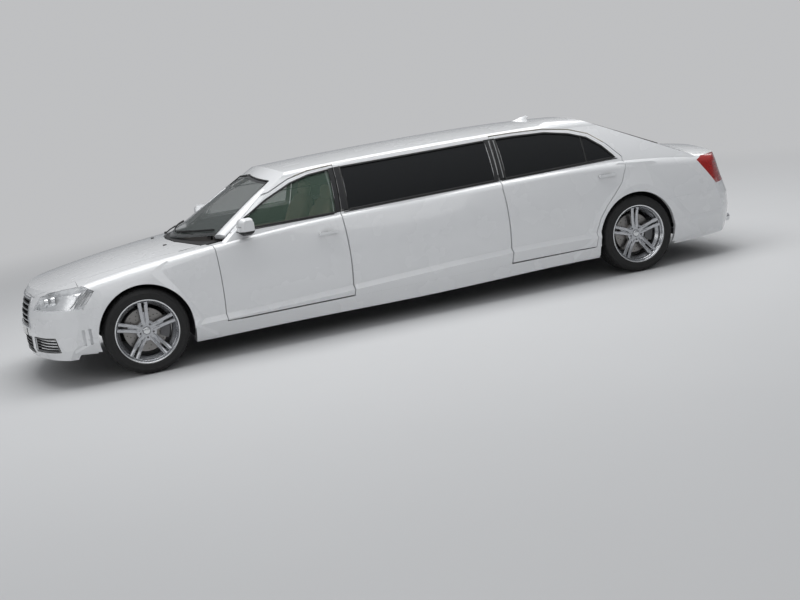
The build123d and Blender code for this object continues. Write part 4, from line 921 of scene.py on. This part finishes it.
def add_front_seats():
    """Two padded front seats on dark plinths."""
    for hand, side in SIDES.items():
        y = side * SEAT_Y
        bolsters, posts = Form(), Form()
        for way in (-1, 1):
            bolsters.pillow((-1.01, y + way * 0.228, 0.505), (0.245, 0.032, 0.062), CUSHION_TIP, power=2.6)
            bolsters.pillow((-0.735, y + way * 0.222, 0.78), (0.05, 0.032, 0.27), BACK_TIP, power=2.6)
            posts.tube([(-0.64, y + way * 0.055, 1.04), (-0.605, y + way * 0.055, 1.12)], 0.007)
        add_pads(f"front_seat_{hand}", "front_seats", (
            ("cushion", Form().pillow((-1.01, y, 0.48), (0.255, 0.24, 0.078), CUSHION_TIP, channels=5), 0.8),
            ("back", Form().pillow((-0.7, y, 0.8), (0.072, 0.235, 0.325), BACK_TIP, channels=5), 0.8),
            ("head_rest", Form().pillow((-0.585, y, 1.148), (0.046, 0.135, 0.068), REST_TIP, power=2.8), 0.9),
            ("bolsters", bolsters, 0.9)))
        base = Form().block((-1.24, y - 0.215, 0.252), (-0.64, y + 0.215, 0.418), 0.03, segments=3)
        for inner, outer in ((-0.25, -0.222), (0.222, 0.25)):
            base.block((-1.255, y + inner, 0.33), (-0.7, y + outer, 0.415), 0.01)
        base.piece(f"front_seat_{hand}_base", "dash", "front_seats")
        posts.piece(f"front_seat_{hand}_posts", "chrome", "front_seats")
        shell = Form().pillow((-0.655, y, 0.79), (0.04, 0.205, 0.29), BACK_TIP, power=4)
        shell.piece(f"front_seat_{hand}_shell", "dash", "front_seats")
    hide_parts("front_seats")


def add_rear_seats():
    """Rear bench with three backs and head rests."""
    first = [add_pads(f"rear_seat_{word}", "rear_seats", (
        ("cushion", Form().pillow((1.41, y, 0.478), (0.275, 0.205, 0.088), CUSHION_TIP, channels=4), 0.8),
        ("back", Form().pillow((1.765, y, 0.775), (0.082, 0.205, 0.285), BACK_TIP, channels=4), 0.8),
        ("head_rest", Form().pillow((1.868, y, 1.02), (0.044, 0.115, 0.058), REST_TIP, power=2.8), 0.9)))
        for word, y in (("left", -0.425), ("middle", 0), ("right", 0.425))]
    base = Form().block((1.15, -0.625, 0.252), (1.68, 0.625, 0.405), 0.03, segments=3)
    base.block((1.66, -0.625, 0.252), (1.9, 0.625, 0.64), 0.04, segments=3)
    base.piece("rear_seat_base", "dash", "rear_seats")
    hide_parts("rear_seats")


def add_dashboard():
    """Wood strip with a bright line, vents and screens on the dashboard."""
    tree = skin("dashboard")
    strip = [touch(tree, (0, -0.66 + 1.32 * i / 32, 0.815), AHEAD) for i in range(33)]
    strip = [hit for hit in strip if hit[0].x < DASH_BACK]
    bead("dash_wood_strip", "wood", "dashboard", strip, 0.036, 0.006)
    line = [(spot + Vector((0, 0, 0.024)), normal) for spot, normal in strip]
    bead("dash_bright_line", "satin", "dashboard", line, 0.004, 0.008)
    vents = Form()
    for y in (-0.59, -0.09, 0.09, 0.59):
        x = touch(tree, (0, y, 0.768), AHEAD)[0].x
        vents.block((x - 0.008, y - 0.062, 0.747), (x + 0.008, y + 0.062, 0.789), 0.004)
        for k in range(4):
            z = 0.754 + 0.0095 * k
            vents.block((x + 0.006, y - 0.056, z - 0.002), (x + 0.014, y + 0.056, z + 0.002), 0.001)
    vents.piece("dash_vents", "trim", "dashboard")
    screens = Form()
    for y, half in ((-SEAT_Y, 0.13), (0, 0.105)):
        z = touch(tree, (-1.55, y, 1.3), DOWN)[0].z
        screens.block((-1.6, y - half, z - 0.01), (-1.585, y + half, z + 0.04), 0.004,
                      Matrix.Rotation(radians(12), 3, "Y"))
    screens.piece("dash_screens", "black_gloss", "dashboard")


def add_trim():
    """Door cards and armrests, panel trim, headlining, carpets and the bonnet's felt."""
    cards = (("upper", 0.845, 0.985, "dash"), ("card", 0.52, 0.842, "leather"),
             ("lower", 0.345, 0.517, "dash"))
    for hand, side in SIDES.items():
        inward = (0, -side, 0)
        for node in (f"door_front_{hand}", f"door_rear_{hand}"):
            low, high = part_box(node)
            for word, z0, z1, finish in cards:
                planes = within(x=(low[0] + 0.035, high[0] - 0.045), z=(z0, z1))
                cover(f"{node}_{word}", node, finish, inward, 0.75, planes, 0.004, 0.006)
            tree = skin(node)
            line = spaced([(low[0] + 0.3, 0.742), (high[0] - 0.36, 0.752)], 0.05)
            hits = [touch(tree, (spot.x, 0, spot.y), (0, side, 0)) for spot in line]
            hits = [hit for hit in hits if abs(hit[0].y) < 0.86]
            bead(f"{node}_armrest", "dash", node, hits, 0.07, 0.04)
        planes = [beyond(side, 0.4), *within(z=(0.3, 0.985))]
        cover(f"centre_panel_trim_{hand}", "centre_panels", "leather", inward, 0.75, planes, 0.004, 0.006)
    low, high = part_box("roof")
    planes = within(x=(low[0] + 0.36, high[0] - 0.66), z=(1.2, None))
    cover("headlining", "roof", "headlining", DOWN, 0.35, planes, 0.004, 0.006)
    low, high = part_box("floor_pan")
    planes = within(x=(low[0] + 0.1, high[0] - 0.02), y=(-0.7, 0.7))
    cover("carpet", "floor_pan", "carpet", UP, 0.9, planes, 0.006, 0.006)
    planes = within(x=(X_FRONT - 0.66, X_FRONT + 0.32), y=(-0.52, 0.52))
    cover("bonnet_felt", "bonnet", "carpet", DOWN, 0.5, planes, 0.004, 0.005)
    cover("boot_carpet", "boot_floor", "carpet", UP, 0.9, within(z=(0.42, 0.5)), 0.004, 0.005)


def add_engine_cover():
    """Ribbed cover and fillers on the engine block."""
    (x0, _, _), (x1, _, top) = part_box("engine")
    form = Form().block((x0 + 0.03, -0.21, top - 0.012), (x1 - 0.03, 0.21, top + 0.004), 0.006)
    for index in range(7):
        y = -0.15 + 0.05 * index
        form.block((x0 + 0.08, y - 0.01, top + 0.001), (x1 - 0.08, y + 0.01, top + 0.006), 0.002)
    form.piece("engine_cover", "dash", "engine")
    caps = Form()
    for x, y in ((x0 + 0.06, 0.17), (x1 - 0.08, -0.17)):
        caps.turned([(0, 0.012), (0.02, 0.012), (0.024, 0.008), (0.024, -0.004)], (x, y, top + 0.002),
                    UP, 20, wave=lambda step, index: 0.93 if step % 2 and index > 1 else 1)
    caps.piece("engine_fillers", "trim", "engine")


def make_camera():
    """Camera at the photograph's place, turned, tipped and rolled as it was."""
    ahead = Vector((
        sin(CAMERA_YAW) * cos(CAMERA_PITCH), cos(CAMERA_YAW) * cos(CAMERA_PITCH), sin(CAMERA_PITCH)))
    level = Vector((cos(CAMERA_YAW), -sin(CAMERA_YAW), 0))
    up = level.cross(ahead)
    right = cos(CAMERA_ROLL) * level + sin(CAMERA_ROLL) * up
    over = cos(CAMERA_ROLL) * up - sin(CAMERA_ROLL) * level
    camera = stand("camera", bpy.data.cameras.new("camera"))
    turn = Matrix((right, over, -ahead)).transposed().to_4x4()
    camera.matrix_world = Matrix.Translation(CAMERA_AT) @ turn
    camera.data.sensor_width = SENSOR_MM
    camera.data.lens = FOCAL_PX * SENSOR_MM / IMAGE_WIDTH_PX
    SCENE.camera = camera


def make_floor():
    """Pale floor that keeps the car's shadow and fades into the backdrop."""
    turns = [2 * pi * i / 64 for i in range(64)]
    rows = [[(r * cos(turn), r * sin(turn), 0) for r in (0.001, 4, 8, 16, 60)] for turn in turns]
    mesh = bpy.data.meshes.new("floor")
    form = Form().grid(rows, ring=True, across=False)
    form.bm.to_mesh(mesh)
    form.bm.free()
    floor = stand("floor", mesh)
    made, shader = new_material("floor")
    tinted(made, shader, FLOOR, 0.02, 0.5)
    worn(made, shader, 0.78, 0.86, 1.2)
    place = add_node(made, "TexCoord")
    length = add_node(made, "VectorMath", operation="LENGTH")
    fade = add_node(made, "MapRange", interpolation_type="SMOOTHSTEP", From_Min=FADE_FROM, From_Max=FADE_TO)
    path = add_node(made, "LightPath")
    both = add_node(made, "Math", operation="MULTIPLY")
    glow = add_node(made, "Emission", Color=(*BACKDROP, 1), Strength=1)
    mix = add_node(made, "MixShader")
    link(made, (place, "Object", length, 0), (length, "Value", fade, "Value"), (fade, "Result", both, 0),
         (path, "Is Camera Ray", both, 1), (both, "Value", mix, "Fac"), (shader, "BSDF", mix, 1),
         (glow, "Emission", mix, 2), (mix, "Shader", made.node_tree.nodes["Material Output"], "Surface"))
    mesh.materials.append(made)


def make_world():
    """Sky that is brightest overhead, with a plain pale backdrop for the camera."""
    world = bpy.data.worlds.new("world")
    SCENE.world = world
    world.use_nodes = True
    sky = put(world.node_tree.nodes["Background"], Strength=SKY_STRENGTH)
    place = add_node(world, "TexCoord")
    split = add_node(world, "SeparateXYZ")
    ramp = add_node(world, "ValToRGB")
    stops = ramp.color_ramp.elements
    stops[0].position, stops[0].color = 0, (0.42, 0.44, 0.47, 1)
    stops[1].position, stops[1].color = 1, (0.95, 0.97, 1, 1)
    for height, level in ((0.1, 0.4), (0.28, 0.3), (0.55, 0.55)):
        stops.new(height).color = (level * 0.96, level * 0.98, level * 1.02, 1)
    plain = add_node(world, "Background", Color=(*BACKDROP, 1), Strength=1)
    path = add_node(world, "LightPath")
    mix = add_node(world, "MixShader")
    link(world, (place, "Generated", split, "Vector"), (split, "Z", ramp, "Fac"),
         (ramp, "Color", sky, "Color"), (path, "Is Camera Ray", mix, "Fac"), (sky, "Background", mix, 1),
         (plain, "Background", mix, 2), (mix, "Shader", world.node_tree.nodes["World Output"], "Surface"))


def make_lights():
    """Large soft panels: a strong one overhead and weak ones from the sides."""
    for name, place, size, energy in LIGHTS:
        light = stand(name, bpy.data.lights.new(name, "AREA"))
        light.data.shape = "RECTANGLE"
        light.data.size, light.data.size_y = size
        light.data.energy = energy
        light.location = place
        aim = Vector((place[0] * 0.6, 0, 0.6)) - Vector(place)
        light.rotation_euler = aim.to_track_quat("-Z", "Y").to_euler()


def finish_scene():
    """Use the plain view transform."""
    SCENE.view_settings.view_transform = "Standard"


make_materials()
dress_nodes()
add_window_band()
add_screen_borders()
add_front_pillars()
add_mouldings()
add_headlamps()
add_tail_lamps()
add_grille()
add_plates()
add_mirrors()
add_aerial_fin()
add_wipers()
add_fuel_flap()
add_tailpipes()
add_wheels()
add_front_seats()
add_rear_seats()
add_dashboard()
add_trim()
add_engine_cover()
make_camera()
make_floor()
make_world()
make_lights()
finish_scene()
